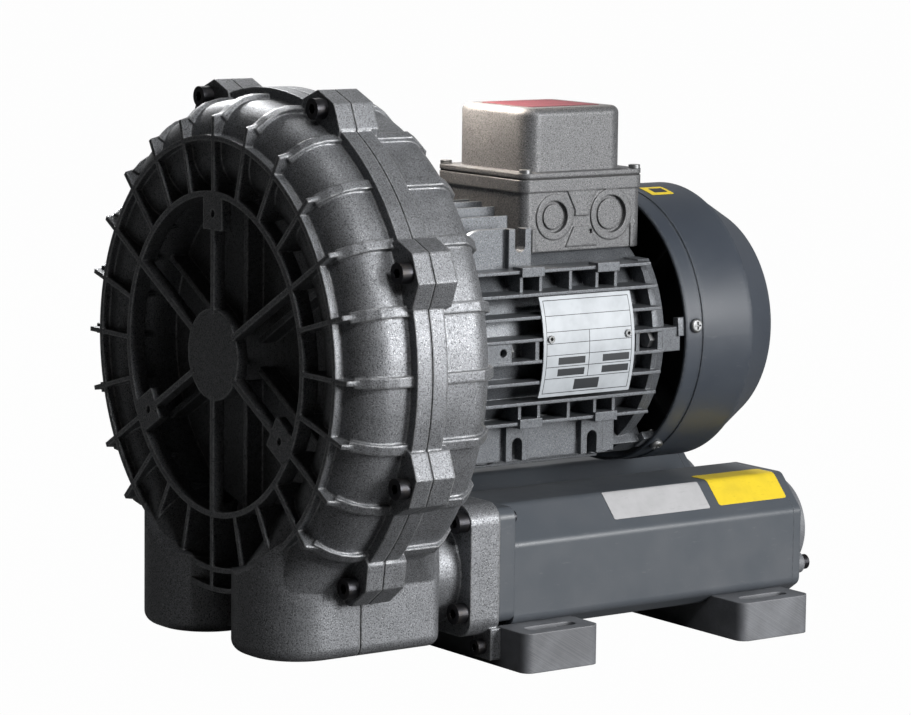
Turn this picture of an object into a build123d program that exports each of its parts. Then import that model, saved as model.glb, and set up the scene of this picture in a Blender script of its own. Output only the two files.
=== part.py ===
"""Side channel blower: two ribbed casting halves round a bladed impeller, carried on the end of a
finned motor, with two silencers and two foot bars underneath.

Millimetres.  X runs across the blower, Y along the shaft from the grille to the fan cowl, Z up.
Everything is modelled from the joint plane of the casting (y = 0) and then shifted so that the
origin is the middle of the footprint, on the floor.
"""
from math import atan2, cos, degrees, hypot, radians, sin, sqrt
import os

from build123d import *

# ---- driving sizes -------------------------------------------------------------------------
shaft_height = 197.3
fit_gap = 0.3          # between parts of different bodies that pass each other
seat_gap = 0.05        # between round parts that are pressed or slid together
joint_gap = 0.8        # thickness of the sheet gasket between the casting halves

# casting: ring-shaped channel
shell_inner_r = 101.0
shell_outer_r = 157.5
shell_wall = 4.5
shell_front = 45.0     # depth of the channel shell in front of the joint plane
shell_rear = 54.0
front_round = 24.0
rear_round = 17.0
rim_r = shell_outer_r + 6.8          # raised band along the joint
rim_half = 11.0
web_face = 7.5         # inner faces of the two webs beside the impeller disc
web_wall = 6.5

# casting: ribs and grille
rib_count = 24
rib_thick = 2.9
crest_thick = 6.4
crest_height = 3.0
grille_front = 50.5    # front plane of the grille
fin_tip_r = shell_outer_r - 9.5
grille_hub_r = 28.6
grille_ring_r = 99.7
grille_mid_r = 134.4
grille_bar = 3.2
spoke_count = 6
spoke_wide = 3.7
spoke_deep = 8.0
pad_wide = 21.0
pad_high = 22.0
pad_deep = 7.0
pad_hole_r = 2.5

# casting: bolt lugs
lug_angles = (22.5, 67.5, 112.5, 157.5, 202.5, 337.5, 307.5, 232.5)
lug_tip_r = rim_r + 11.7
lug_tip_half = 9.5
lug_root_half = 21.5
lug_front = 12.5
lug_rear = 16.0
lug_bolt_r = lug_tip_r - 8.0

# casting: ducts
duct_middle_x = 51.6
duct_wide = 80.0
duct_front = 59.5
duct_rear = 63.0
duct_wall = 5.0
duct_bottom = 17.0
duct_turn_z = 58.0     # level where the duct has turned straight down
duct_start = -50.0     # angle of the channel where a duct leaves it
duct_shoulder_r = 132.0         # the duct ends in a round shoulder about the shaft
duct_shoulder_round = 10.0
duct_front_round = 36.5
duct_rear_round = 9.0
duct_foot_round = 7.5
neck_r = 36.0
neck_wall = 7.5
port_z = 59.3
flange_front = 78.7
flange_rear = 101.3
flange_wide = 92.0
flange_top = 104.0
flange_bottom = 20.0
flange_round = 12.0
foot_lug_deep = 6.5
foot_lug_wide = 18.0
foot_lug_low = 5.0

# impeller
running_gap = 0.6      # side clearance of the impeller
blade_count = 40
blade_thick = 2.2
blade_half = 14.0      # half the width of the blade ring
blade_root_r = 105.8
blade_tip_r = shell_outer_r - shell_wall - running_gap
impeller_core_r = 103.4
impeller_web = 3.0
impeller_hub_r = 26.0
impeller_hub_rear = 30.0

# shaft and bearings
shaft_end_r = 12.0
bearing_bore_r = 12.5
bearing_outer_r = 26.0
bearing_wide = 15.0
race_wall = 3.6
ball_r = 3.9
ball_count = 9
front_bearing_y = 62.0
rear_bearing_y = 236.0
shaft_body_r = 15.0
shaft_front_y = 6.0
fan_seat_r = 10.0
shaft_rear_y = 296.0
seal_y = 42.0
seal_wide = 7.0
seal_r = 20.0
key_wide = 8.0
key_high = 7.0

# motor
frame_front = 93.0
frame_rear = 237.0
frame_bore_r = 66.0
frame_wall = 5.5
fin_r = 89.5
fin_thick = 2.1
fin_arch = 19.0         # rounding of the front ends of the upper fins
fin_pitch = 13.8
adapter_base_r = 101.5
adapter_rear_r = 84.5
adapter_ring = 12.0    # thickness of the ring the motor is bolted to
ear_half = 7.75
ear_bolt_r = 79.5
ear_angles = (0, 180, 240, 300)
front_pocket = (115.5, 134.0)
rear_pocket = (218.0, 233.0)
shield_ear_rear = 251.5
core_front = 121.0
core_rear = 209.0
core_inner_r = 41.0
air_gap = 0.4
winding_long = 20.0
shield_thick = 6.0
shield_r = 83.0
barrel_r = frame_bore_r + frame_wall
skirt_x = 58.0
skirt_thick = 4.0
skirt_low = 52.0
skirt_high = 74.5
foot_pad_y = (131.5, 192.0)
foot_pad_wide = 17.7
side_hole_y = frame_front + 16.0

# cowl and fan
cowl_r = 91.3
cowl_sheet = 1.6
cowl_front = 253.9
cowl_edge = 310.3      # where the tapered end begins
cowl_rear = 341.5
cowl_rear_r = 73.8
cowl_screw_angles = (5.0, 175.0, 235.0, 305.0)
cowl_screw_y = 262.0
cowl_band_y = 268.0
fan_front = 264.0
fan_rear = 300.0
fan_r = 82.0
fan_blades = 8

# terminal box
box_half = 48.1
box_front = 152.8
box_rear = 252.0
box_bottom = 254.0
box_floor = 272.0      # seat of the box on top of the frame
box_top = 300.5
box_wall = 3.0
lid_half = 39.0
lid_front = 162.0
lid_rear = 242.0
lid_top = 345.5
lid_flange = 3.0
knockout_z = 276.2
knockout_rim = 4.5      # width of the raised ring round a knock-out
relief = 0.9

# silencers and feet
silencer_half = 45.1
silencer_front = 113.3
silencer_rear = 351.8
silencer_top = 99.3
silencer_side_low = 27.9
silencer_bottom = 19.5
top_chamfer_x = 20.8
top_chamfer_z = 22.1
low_chamfer_x = 12.0
silencer_round = 6.5
silencer_wall = 3.0
plate_bottom = 27.5
plate_top = 100.5
cap_thick = 6.0
port_boss_r = 33.0
port_boss_long = 15.0
port_bore_r = 23.2
port_ear_thick = 6.2
port_ear_r = 7.0
port_screw_x = 36.5
port_screw_z = 20.5
tube_r = 24.0
tube_wall = 1.5
foot_high = 25.4
foot_half = 124.5
foot_wide = 59.0
foot_front_y = 102.6
foot_rear_y = 278.8
foot_slot_x = 110.5
foot_slot_long = 38.0
foot_slot_wide = 9.5
foot_corner = 7.0

# rating plate
plate_front = 139.0
plate_rear = 212.0
plate_low = 166.5
plate_high = 230.5
plate_thick = 0.8

# fasteners
m8_r = 4.0
m8_head_r = 6.5
m8_head_high = 8.0
m6_r = 3.0
m6_head_r = 5.0
m6_head_high = 6.0
m5_r = 2.5
m5_head_r = 4.6
m4_r = 2.0
m4_head_r = 3.8
hole_gap = 0.4

# ---- frame of reference --------------------------------------------------------------------
SHAFT = Axis((0, 0, shaft_height), (0, 1, 0))
RADIAL = Plane.XY.offset(shaft_height)        # sketch x is the radius, sketch y runs along the shaft
part_rear = silencer_rear + port_boss_long
part_front = duct_front
TO_ORIGIN = Location((0, -(part_rear - part_front) / 2, 0))
CENTRE = Align.CENTER
LOW = Align.MIN
FAR = 3 * shaft_height          # beyond every surface, for cutting and keeping


def section(*points):
    """Closed outline of straight lines in the radial plane; points are (radius, y)."""
    return RADIAL * make_face(Polyline(*points, close=True))


def soft_section(points, radii):
    """Closed outline in the radial plane with a radius at each corner."""
    face = make_face(Polyline(*points, close=True))
    for point, radius in zip(points, radii):
        if radius:
            corner = face.vertices().sort_by_distance((point[0], point[1], 0))[0]
            face = fillet(corner, radius)
    return RADIAL * face


def turned(face, arc=360):
    return revolve(face, axis=SHAFT, revolution_arc=arc)


def at_angle(shape, angle):
    """Turn a shape about the shaft; angle 0 is +X and 90 is straight up."""
    return shape.rotate(SHAFT, -angle)


def ring(inner, outer, y0, y1):
    return turned(section((inner, y0), (outer, y0), (outer, y1), (inner, y1)))


def rod(radius, y0, y1, x=0.0, z=shaft_height):
    """Cylinder along Y."""
    return Pos(x, y0, z) * Rot(-90, 0, 0) * Cylinder(radius, y1 - y0, align=(CENTRE, CENTRE, LOW))


def block(x0, x1, y0, y1, z0, z1):
    return Pos(x0, y0, z0) * Box(x1 - x0, y1 - y0, z1 - z0, align=(LOW, LOW, LOW))


def along_y(face, y0, y1):
    """Prism along Y of a sketch drawn in X and Z."""
    return Pos(0, y1, 0) * extrude(Plane.XZ * face, y1 - y0)


def on_both_sides(shape):
    return [shape, mirror(shape, about=Plane.YZ)]


def polar(radius, angle):
    """X and Z of a point at a radius and angle about the shaft."""
    return radius * cos(radians(angle)), shaft_height + radius * sin(radians(angle))


def socket_screw(radius, head_r, head_high, length):
    """Cap screw along +Z, head below z = 0, shank up to length."""
    head = Pos(0, 0, -head_high) * Cylinder(head_r, head_high, align=(CENTRE, CENTRE, LOW))
    shank = Cylinder(radius, length, align=(CENTRE, CENTRE, LOW))
    recess = Pos(0, 0, -head_high) * extrude(RegularPolygon(head_r * 0.5, 6), head_high * 0.55)
    return head + shank - recess


def rearward(shape, x, y, z):
    """Place something modelled along +Z so that it points along +Y."""
    return Pos(x, y, z) * Rot(-90, 0, 0) * shape


def forward(shape, x, y, z):
    return Pos(x, y, z) * Rot(90, 0, 0) * shape


# ---- casting -------------------------------------------------------------------------------
def shell_outline(inset=0.0):
    """Section of the channel shell; inset moves it inwards."""
    r0, r1 = shell_inner_r + inset, shell_outer_r - inset
    y0, y1 = inset - shell_front, shell_rear - inset
    points = [(r0, y0), (r1, y0), (r1, y1), (r0, y1)]
    radii = [front_round - inset, front_round - inset, rear_round - inset, rear_round - inset]
    return soft_section(points, radii)


def duct_plan(inset=0.0):
    """Horizontal section of a duct, round at the front."""
    half = duct_wide / 2 - inset
    y0, y1 = inset - duct_front, duct_rear - inset
    left, right = duct_middle_x - half, duct_middle_x + half
    face = make_face(Polyline((left, y0), (right, y0), (right, y1), (left, y1), close=True))
    corners = face.vertices().sort_by(Axis.Y)
    face = fillet(corners[:2], duct_front_round - inset)
    corners = [v for v in face.vertices() if v.Y > y1 - 0.01]
    return fillet(corners, duct_rear_round - inset * 0.8)


def duct_shoulder(inset=0.0):
    """Space outside the round shoulder in which a duct ends below the ring."""
    near, front = duct_shoulder_r + inset, inset - duct_front - 1
    points = [(near, front), (FAR, front), (FAR, duct_rear + 1), (near, duct_rear + 1)]
    return turned(soft_section(points, [duct_shoulder_round - inset * 0.8, 0, 0, 0]))


def duct_body(inset=0.0):
    """Duct from the channel down and back to the flange, on the right-hand side."""
    start = at_angle(shell_outline(inset), duct_start)
    turn = Pos(0, 0, duct_turn_z) * duct_plan(inset + 1)
    bend = loft([start.face(), turn.face()])
    top = shaft_height - shell_inner_r + 10
    leg = extrude(Pos(0, 0, duct_bottom + inset) * duct_plan(inset), top - duct_bottom - inset)
    leg = fillet(leg.edges().group_by(Axis.Z)[0], duct_foot_round - inset * 0.8)
    return bend + (leg & duct_shoulder(inset))


def neck_body(radius):
    return rod(radius, duct_rear - duct_wall - 1, flange_rear, duct_middle_x, port_z)


def flange_body():
    low, high = flange_bottom, flange_top
    face = Pos(duct_middle_x, (low + high) / 2) * RectangleRounded(flange_wide, high - low, flange_round)
    plate = along_y(face, flange_front, flange_rear)
    right = duct_middle_x + flange_wide / 2
    lug = block(right - foot_lug_wide, right, flange_rear - foot_lug_deep, foot_front_y,
                foot_lug_low, flange_bottom + 5)
    return plate + lug


def rib_profiles():
    """Outlines of the thin grille fin and of the broad crest on the shell, front half."""
    crest = shell_outer_r + crest_height
    fin = [(grille_ring_r, -grille_front), (fin_tip_r, -grille_front),
           (fin_tip_r + 1.5, -grille_front + 6), (shell_outer_r - 1, -30), (shell_outer_r - 1, -rim_half + 2),
           (shell_inner_r + 3, -rim_half), (shell_inner_r + 3, -front_round),
           (grille_ring_r, -grille_front + spoke_deep)]
    band = [(fin_tip_r - 3, -grille_front + 8), (fin_tip_r, -grille_front + 5), (crest - 6, -37.6),
            (crest - 2, -30), (crest, -21), (crest, -rim_half + 2),
            (shell_outer_r - 2, -rim_half + 2), (shell_outer_r - 3, -25), (fin_tip_r - 6, -38)]
    return fin, band


def rear_rib_profile():
    crest = shell_outer_r + crest_height
    return [(shell_outer_r - 2, rim_half - 2), (crest, rim_half - 2), (crest, shell_rear - 13),
            (crest - 4, shell_rear - 6.5), (crest - 11, shell_rear + 1.5), (crest - 18, shell_rear + 3),
            (crest - 20, shell_rear - 3), (shell_outer_r - 6, shell_rear - 9)]


def slab(points, thick):
    """Radial rib of a thickness, centred on the radial plane."""
    return extrude(section(*points), thick / 2, both=True)


def ribs():
    """Fins, crests and rear ribs at every rib angle; the ducts take the place of some crests."""
    fin, band = rib_profiles()
    fin_solid, band_solid = slab(fin, rib_thick), slab(band, crest_thick)
    rear_solid = slab(rear_rib_profile(), crest_thick)
    made = []
    for k in range(rib_count):
        angle = k * 360 / rib_count
        made.append(at_angle(fin_solid, angle))
        if not 360 + duct_start - 85 < angle < 360 + duct_start - 2:
            made.append(at_angle(band_solid, angle))
            made.append(at_angle(rear_solid, angle))
    return made


def grille():
    """Hub disc, spokes, two rings and three drilled pads in the front plane."""
    front = -grille_front
    parts = [ring(grille_ring_r - grille_bar / 2, grille_ring_r + 2, front, front + spoke_deep + 3),
             ring(grille_mid_r - grille_bar / 2, grille_mid_r + grille_bar / 2, front, front + spoke_deep),
             rod(grille_hub_r, front + 0.5, front + spoke_deep)]
    spoke = block(grille_hub_r - 3, grille_ring_r, front, front + spoke_deep,
                  shaft_height - spoke_wide / 2, shaft_height + spoke_wide / 2)
    pad = block(grille_ring_r - pad_high, grille_ring_r, front, front + pad_deep,
                shaft_height - pad_wide / 2, shaft_height + pad_wide / 2)
    for k in range(spoke_count):
        angle = 30 + k * 360 / spoke_count
        parts.append(at_angle(spoke, angle))
        if k % 2:
            parts.append(at_angle(pad, angle))
    arc = turned(section((fin_tip_r - 2.5, front), (fin_tip_r + 0.5, front),
                         (fin_tip_r + 0.5, front + 7), (fin_tip_r - 2.5, front + 7)), 40)
    parts.append(at_angle(arc, -70))
    return parts


def pad_centres():
    radius = grille_ring_r - pad_high / 2 - 1
    return [polar(radius, angle) for angle in (90, 210, 330)]


def lug_body(y0, y1, inset=0.0):
    """Bolt lug on the rim at angle 0."""
    tip, root = lug_tip_r - inset, shell_outer_r - 4
    high, low = lug_tip_half - inset, lug_root_half - inset
    face = make_face(Polyline((root, -low), (rim_r - inset, -low), (tip, -high), (tip, high),
                              (rim_r - inset, low), (root, low), close=True))
    return along_y(Pos(0, shaft_height) * face, y0, y1)


def duct_web(y0, y1, inset=0.0):
    """Web that ties the two ducts together under the ring."""
    reach = duct_middle_x - duct_wide / 2 + 4
    return block(-reach, reach, y0, y1, duct_bottom + 6 + inset, shaft_height - shell_inner_r - 10)


def channel_space():
    """Air space of the channel, both ducts and the impeller slot."""
    swept = turned(shell_outline(shell_wall), 180 + 2 * abs(duct_start))
    tight = running_gap
    space = at_angle(swept, 180 - duct_start)
    space += ring(impeller_core_r + 0.6, blade_tip_r + tight, -blade_half - tight, blade_half + tight)
    space += rod(impeller_core_r + 1.6, -web_face, web_face)
    for side in on_both_sides(duct_body(duct_wall)) + on_both_sides(neck_body(neck_r - neck_wall)):
        space += side
    return space


def bolt_spots():
    return [polar(lug_bolt_r, angle) for angle in lug_angles]


def casting_body():
    """Both halves of the casting in one piece, before the joint is cut."""
    body = turned(shell_outline())
    body += ring(shell_outer_r - 3, rim_r, -rim_half, rim_half)
    for side in (duct_body(), neck_body(neck_r), flange_body()):
        body += on_both_sides(side)
    body += duct_web(-6, 6)
    body += [at_angle(lug_body(-lug_front, lug_rear), angle) for angle in lug_angles]
    body += grille()
    return body + ribs()


def front_hub():
    """Web behind the grille with six stiffening ribs."""
    parts = [ring(0, shell_inner_r + 2, -web_face - web_wall, -web_face)]
    rib = block(18, shell_inner_r + 1, -web_face - web_wall - 12, -web_face - 1,
                shaft_height - 2, shaft_height + 2)
    for k in range(spoke_count):
        parts.append(at_angle(rib, 30 + k * 360 / spoke_count))
    return parts


def rear_hub():
    """Web behind the impeller, bearing boss with its ribs, and the motor adapter."""
    rear = web_face + web_wall
    boss_r = bearing_outer_r + 8
    boss_rear = front_bearing_y + bearing_wide + 3
    base, step = adapter_base_r, frame_front - adapter_ring
    cone = section((base - 11, web_face), (base, web_face), (base, shell_rear - 8),
                   (base - 1.5, shell_rear + 3), (adapter_rear_r, frame_front - 2),
                   (adapter_rear_r, frame_front), (frame_bore_r, frame_front), (frame_bore_r, step),
                   (frame_bore_r + 8, step - 2), (base - 11, shell_rear))
    parts = [ring(0, shell_inner_r + 2, web_face, rear), rod(boss_r, web_face, boss_rear), turned(cone)]
    rib = block(boss_r - 2, base - 10, rear - 1, shell_rear - 3, shaft_height - 2.5, shaft_height + 2.5)
    for k in range(8):
        parts.append(at_angle(rib, 22.5 + k * 45))
    return parts


def bearing_bores():
    """Stepped bore of the rear housing: seal, bearing and shaft passage."""
    return [rod(shaft_end_r + 1.5, -1, front_bearing_y + 1),
            rod(impeller_hub_r + 1, -1, impeller_hub_rear + 2),
            rod(seal_r + seat_gap, seal_y, seal_y + seal_wide + 1),
            rod(bearing_bore_r + 1.5, seal_y, front_bearing_y + 1),
            rod(bearing_outer_r + seat_gap, front_bearing_y, front_bearing_y + bearing_wide + 10)]


def casting_halves():
    """Front cover and rear housing."""
    body = casting_body() - channel_space()
    half = joint_gap / 2
    front_side = block(-FAR, FAR, -FAR, -half, -FAR, FAR)
    rear_side = block(-FAR, FAR, half, FAR, -FAR, FAR)
    front = (body & front_side) + front_hub()
    rear = (body & rear_side) + rear_hub()
    rear -= bearing_bores()
    clear = [rod(m8_r + hole_gap, -lug_front - 1, lug_rear - 2, x, z) for x, z in bolt_spots()]
    front -= clear + [rod(pad_hole_r, -grille_front - 1, -grille_front + pad_deep + 2, x, z)
                      for x, z in pad_centres()]
    rear -= clear
    rear -= [rod(m8_r + hole_gap, flange_front - 1, flange_rear + 1, x, z) for x, z in flange_spots()]
    rear -= [rod(m6_r + hole_gap, flange_front - 1, foot_front_y + 1, x, z) for x, z in foot_lug_spots()]
    rear -= [rod(m6_r + seat_gap, frame_front - adapter_ring, frame_front + 1, x, z) for x, z in ear_spots()]
    return front, rear


def joint_gasket():
    """Sheet gasket between the casting halves, set in a little from the outline."""
    inset, half = 0.8, joint_gap / 2
    sheet = ring(shell_inner_r + 1, rim_r - inset, -half, half)
    more = [at_angle(lug_body(-half, half, inset), angle) for angle in lug_angles]
    for duct in on_both_sides(duct_body(inset)):
        more.append(duct & block(-FAR, FAR, -half, half, 0, FAR))
    more.append(duct_web(-half, half, inset))
    sheet = sheet + more
    sheet -= channel_space()
    sheet -= rod(blade_tip_r + running_gap, -1, 1)
    return sheet - [rod(m8_r + hole_gap, -1, 1, x, z) for x, z in bolt_spots()]


# ---- flange and foot fasteners ---------------------------------------------------------------
def flange_spots():
    """Bolt positions in the corners of the duct flanges, both sides."""
    side = flange_wide / 2 - 7.5
    low, high = plate_bottom + 8.5, plate_top - 7.0
    right = [(duct_middle_x + sx * side, z) for sx in (-1, 1) for z in (low, high)]
    return right + [(-x, z) for x, z in right]


def foot_lug_spots():
    x = duct_middle_x + flange_wide / 2 - foot_lug_wide / 2
    z = (foot_lug_low + flange_bottom) / 2
    return [(x, z), (-x, z)]


def ear_spots():
    return [polar(ear_bolt_r, angle) for angle in ear_angles]


# ---- impeller and shaft ----------------------------------------------------------------------
def impeller_body():
    """Disc with a bored hub and a ring of straight blades on both faces."""
    disc = web_face - running_gap
    body = turned(section((shaft_end_r + seat_gap, shaft_front_y), (shaft_end_r + 4, shaft_front_y),
                          (shaft_end_r + 4, -disc), (impeller_core_r, -disc), (impeller_core_r, disc),
                          (impeller_hub_r, disc),
                          (impeller_hub_r, impeller_hub_rear), (shaft_end_r + seat_gap, impeller_hub_rear)))
    body += ring(impeller_core_r - 1, blade_tip_r, -impeller_web / 2, impeller_web / 2)
    blade = block(impeller_core_r - 0.4, blade_tip_r, -blade_half, blade_half,
                  shaft_height - blade_thick / 2, shaft_height + blade_thick / 2)
    relief = ring(impeller_core_r - 5, blade_root_r, -blade_half - 1, -disc)
    blade = blade - [relief, mirror(relief, about=Plane.XZ)]
    body += [at_angle(blade, k * 360 / blade_count) for k in range(blade_count)]
    body &= ring(shaft_end_r, blade_tip_r, -blade_half, impeller_hub_rear)
    return body - key_space(0.05)


def key_space(gap=0.0):
    """Room for the impeller key on top of the shaft end."""
    z = shaft_height + shaft_end_r - 4.0
    return block(-key_wide / 2 - gap, key_wide / 2 + gap, shaft_front_y + 2 - gap, impeller_hub_rear - 2 + gap,
                 z - gap, z + key_high + gap)


def motor_shaft():
    rear_end = rear_bearing_y + bearing_wide
    front_end = front_bearing_y + bearing_wide
    body = turned(section((0, shaft_front_y), (shaft_end_r, shaft_front_y), (shaft_end_r, seal_y - 4),
                          (bearing_bore_r - seat_gap, seal_y - 4), (bearing_bore_r - seat_gap, front_end),
                          (shaft_body_r, front_end), (shaft_body_r, rear_bearing_y),
                          (bearing_bore_r - seat_gap, rear_bearing_y), (bearing_bore_r - seat_gap, rear_end + 1),
                          (fan_seat_r, rear_end + 1), (fan_seat_r, shaft_rear_y), (0, shaft_rear_y)))
    body -= rod(m8_r + seat_gap, shaft_front_y - 1, shaft_front_y + 24)
    groove = ring(fan_seat_r - 0.8, fan_seat_r + 1, fan_rear - 12, fan_rear - 10.6)
    return body - [key_space(0.05), groove]


def impeller_washer():
    return ring(m8_r + hole_gap, shaft_end_r + 3.5, shaft_front_y - 3, shaft_front_y)


def impeller_screw():
    screw = socket_screw(m8_r, m8_head_r, 7.0, 22.0)
    return rearward(screw, 0, shaft_front_y - 3, shaft_height)


def bearing(y0):
    """Outer race, inner race and the caged balls of one deep-groove bearing."""
    y1 = y0 + bearing_wide
    middle = (bearing_bore_r + bearing_outer_r) / 2
    groove = turned(Pos(middle, y0 + bearing_wide / 2, shaft_height) * Circle(ball_r + 0.08))
    outer = ring(bearing_outer_r - race_wall, bearing_outer_r, y0, y1) - groove
    inner = ring(bearing_bore_r, bearing_bore_r + race_wall, y0, y1) - groove
    return outer, inner, ball_cage(y0, middle)


def ball_cage(y0, middle):
    centre_y = y0 + bearing_wide / 2
    cage = ring(middle - 1.2, middle + 1.2, centre_y - ball_r - 0.8, centre_y + ball_r + 0.8)
    ball = Pos(middle, centre_y, shaft_height) * Sphere(ball_r)
    return cage + [at_angle(ball, k * 360 / ball_count) for k in range(ball_count)]


def shaft_seal():
    return ring(bearing_bore_r + 0.04, seal_r, seal_y, seal_y + seal_wide)


def rotor_core():
    body = ring(shaft_body_r + seat_gap, core_inner_r - air_gap, core_front, core_rear)
    lamina = ring(22, core_inner_r - 3, core_front - 11, core_rear + 11)
    body += lamina
    vane = block(24, core_inner_r - 3, core_front - 17, core_rear + 17, shaft_height - 1.5, shaft_height + 1.5)
    return body + [at_angle(vane, k * 45) for k in range(8)] - rod(22, core_front - 20, core_front) \
        - rod(22, core_rear, core_rear + 20)


# ---- motor -----------------------------------------------------------------------------------
def fin_edge(offset):
    """Half-width of the frame at the outer corner of a fin."""
    return sqrt(fin_r ** 2 - (abs(offset) + fin_thick / 2) ** 2)


def side_fins():
    """Horizontal fins on both sides of the frame."""
    made = []
    for k in (-3.5, -2.5, -1.5, -0.5, 0.5, 1.5, 2.5, 3.5):
        z = shaft_height + k * fin_pitch
        fin = block(frame_bore_r * 0.75, fin_edge(k * fin_pitch), frame_front + 1, frame_rear,
                    z - fin_thick / 2, z + fin_thick / 2)
        made += on_both_sides(fin)
    return made


def arched(plate):
    """Upright plate with its upper front corner rounded off."""
    corner = plate.edges().filter_by(Axis.X).group_by(Axis.Y)[0].sort_by(Axis.Z)[-1]
    return fillet(corner, fin_arch)


def end_fins():
    """Upright fins under the frame and, in front of the terminal box, on top of it."""
    made = []
    for k in (-2.5, -1.5, -0.5, 0.5, 1.5, 2.5):
        x = k * fin_pitch
        edge = fin_edge(x) - 2
        root = frame_bore_r * 0.75
        made.append(block(x - fin_thick / 2, x + fin_thick / 2, frame_front + 1, frame_rear,
                          shaft_height - edge, shaft_height - root))
        made.append(arched(block(x - fin_thick / 2, x + fin_thick / 2, frame_front + 1, box_front - 3,
                                 shaft_height + root, shaft_height + edge)))
    return made


def fin_webs():
    """Short upright webs and square tabs that stiffen the outer pair of side fins."""
    low, high = 2.5 * fin_pitch, 3.5 * fin_pitch
    made = []
    for sign in (-1, 1):
        for pad in foot_pad_y:
            for y in (pad, pad + foot_pad_wide - 2.4):
                made.append(fin_web(sign, y, low, high))
            tab_z = shaft_height + sign * high
            tab = block(fin_edge(high) - 8, fin_edge(high) + 2, pad, pad + foot_pad_wide, tab_z - 3, tab_z + 3)
            made += on_both_sides(tab)
        made.append(fin_web(sign, (foot_pad_y[0] + foot_pad_y[1] + foot_pad_wide) / 2, low, high))
    flat = []
    for item in made:
        flat += item if isinstance(item, list) else [item]
    return flat


def fin_web(sign, y, low, high):
    z0, z1 = sorted((shaft_height + sign * low, shaft_height + sign * high))
    return on_both_sides(block(frame_bore_r * 0.75, fin_edge(high) - 0.5, y, y + 2.4, z0, z1))


def skirts():
    """Side skirts at the four corners of the frame, with a slotted foot pad on each."""
    made = []
    for sign, rear, pads in ((-1, 222.0, foot_pad_y), (1, box_front - 3, foot_pad_y[:1])):
        z0, z1 = sorted((shaft_height + sign * skirt_low * 0.9, shaft_height + sign * skirt_high))
        plate = block(skirt_x - skirt_thick, skirt_x, frame_front + 1, rear, z0, z1)
        plates = [arched(plate) if sign > 0 else plate]
        for pad in pads:
            plates.append(block(skirt_x - skirt_thick, skirt_x + 4, pad, pad + foot_pad_wide, z0, z1))
        made += [part for plate in plates for part in on_both_sides(plate)]
    return made


def pad_slots():
    """Open-ended slots of the foot pads."""
    made = []
    for sign, pads in ((-1, foot_pad_y), (1, foot_pad_y[:1])):
        tip = shaft_height + sign * (skirt_high + 1)
        root = shaft_height + sign * (skirt_high - 11)
        z0, z1 = sorted((tip, root))
        for pad in pads:
            y = pad + foot_pad_wide / 2
            slot = block(skirt_x - 5, skirt_x + 6, y - 4, y + 4, z0, z1)
            end = Pos(skirt_x - 5, y, root) * Rot(0, 90, 0) * Cylinder(4, 11, align=(CENTRE, CENTRE, LOW))
            made += on_both_sides(slot) + on_both_sides(end)
    return made


def frame_ears():
    """Blocks at both ends of the frame that hold the bolts of the motor."""
    made = []
    for y0, y1 in ((frame_front, front_pocket[1] + 3), (rear_pocket[0] - 3, frame_rear)):
        ear = block(frame_bore_r + 1, fin_r - 1.5, y0, y1, shaft_height - ear_half, shaft_height + ear_half)
        made += [at_angle(ear, angle) for angle in ear_angles]
    return made


def ear_cuts():
    """Pockets for the bolt heads and the holes that lead out of them."""
    made = []
    for y0, y1 in (front_pocket, rear_pocket):
        pocket = block(frame_bore_r + 7, fin_r + 3, y0, y1, shaft_height - 5.8, shaft_height + 5.8)
        made += [at_angle(pocket, angle) for angle in ear_angles]
    for x, z in ear_spots():
        made.append(rod(m6_r + hole_gap, frame_front - 1, front_pocket[0] + 1, x, z))
        made.append(rod(m6_r + hole_gap, rear_pocket[1] - 1, frame_rear + 1, x, z))
    side = Pos(fin_r - 9, side_hole_y, shaft_height) * Rot(0, 90, 0) \
        * Cylinder(2.6, 12, align=(CENTRE, CENTRE, LOW))
    return made + on_both_sides(side)


def box_room(y0, y1):
    """Room that the terminal box takes beside the barrel of the frame."""
    side = box_half + 0.5
    return block(-side, side, y0, y1, box_bottom - fit_gap, FAR) - rod(barrel_r, y0 - 1, y1 + 1)


def shoulder_room(y0, y1):
    """Space above the uppermost side fins, outside the barrel."""
    low = shaft_height + 3.5 * fin_pitch + fin_thick
    return block(-fin_r - 9, fin_r + 9, y0, y1, low, FAR) - rod(barrel_r, y0 - 1, y1 + 1)


def stator_frame():
    """Finned motor frame with foot pads and the seat of the terminal box."""
    body = ring(frame_bore_r - 6, barrel_r, frame_front, frame_rear)
    more = side_fins() + end_fins() + fin_webs() + skirts() + frame_ears()
    more.append(ring(frame_bore_r, adapter_rear_r, frame_front, frame_front + 5))
    more.append(ring(frame_bore_r, shield_r, frame_rear - 4, frame_rear) - shoulder_room(frame_rear - 5, frame_rear + 1))
    more += [rivet_rod(y, 3.6, barrel_r - 2, fin_r - 0.4) for y in rivet_spots()]
    body = body + more - box_room(box_front - fit_gap, box_rear)
    body += block(-box_half + 6.5, box_half - 6.5, box_front + 6, frame_rear - 5, shaft_height + 40, box_floor)
    cuts = [rivet_rod(y, 1.65, fin_r - 9, fin_r + 1) for y in rivet_spots()]
    cuts += pad_slots() + ear_cuts() + [rod(frame_bore_r, frame_front - 1, frame_rear + 1)]
    cuts += [block(-12, 12, box_front + 20, box_rear - 30, shaft_height + 50, box_floor + 1)]
    cuts += [Pos(x, y, box_floor - 9) * Cylinder(m5_r + seat_gap, 12, align=(CENTRE, CENTRE, LOW))
             for x, y in base_spots()]
    return body - cuts


def stator_core():
    return ring(core_inner_r, frame_bore_r - seat_gap, core_front, core_rear)


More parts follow.
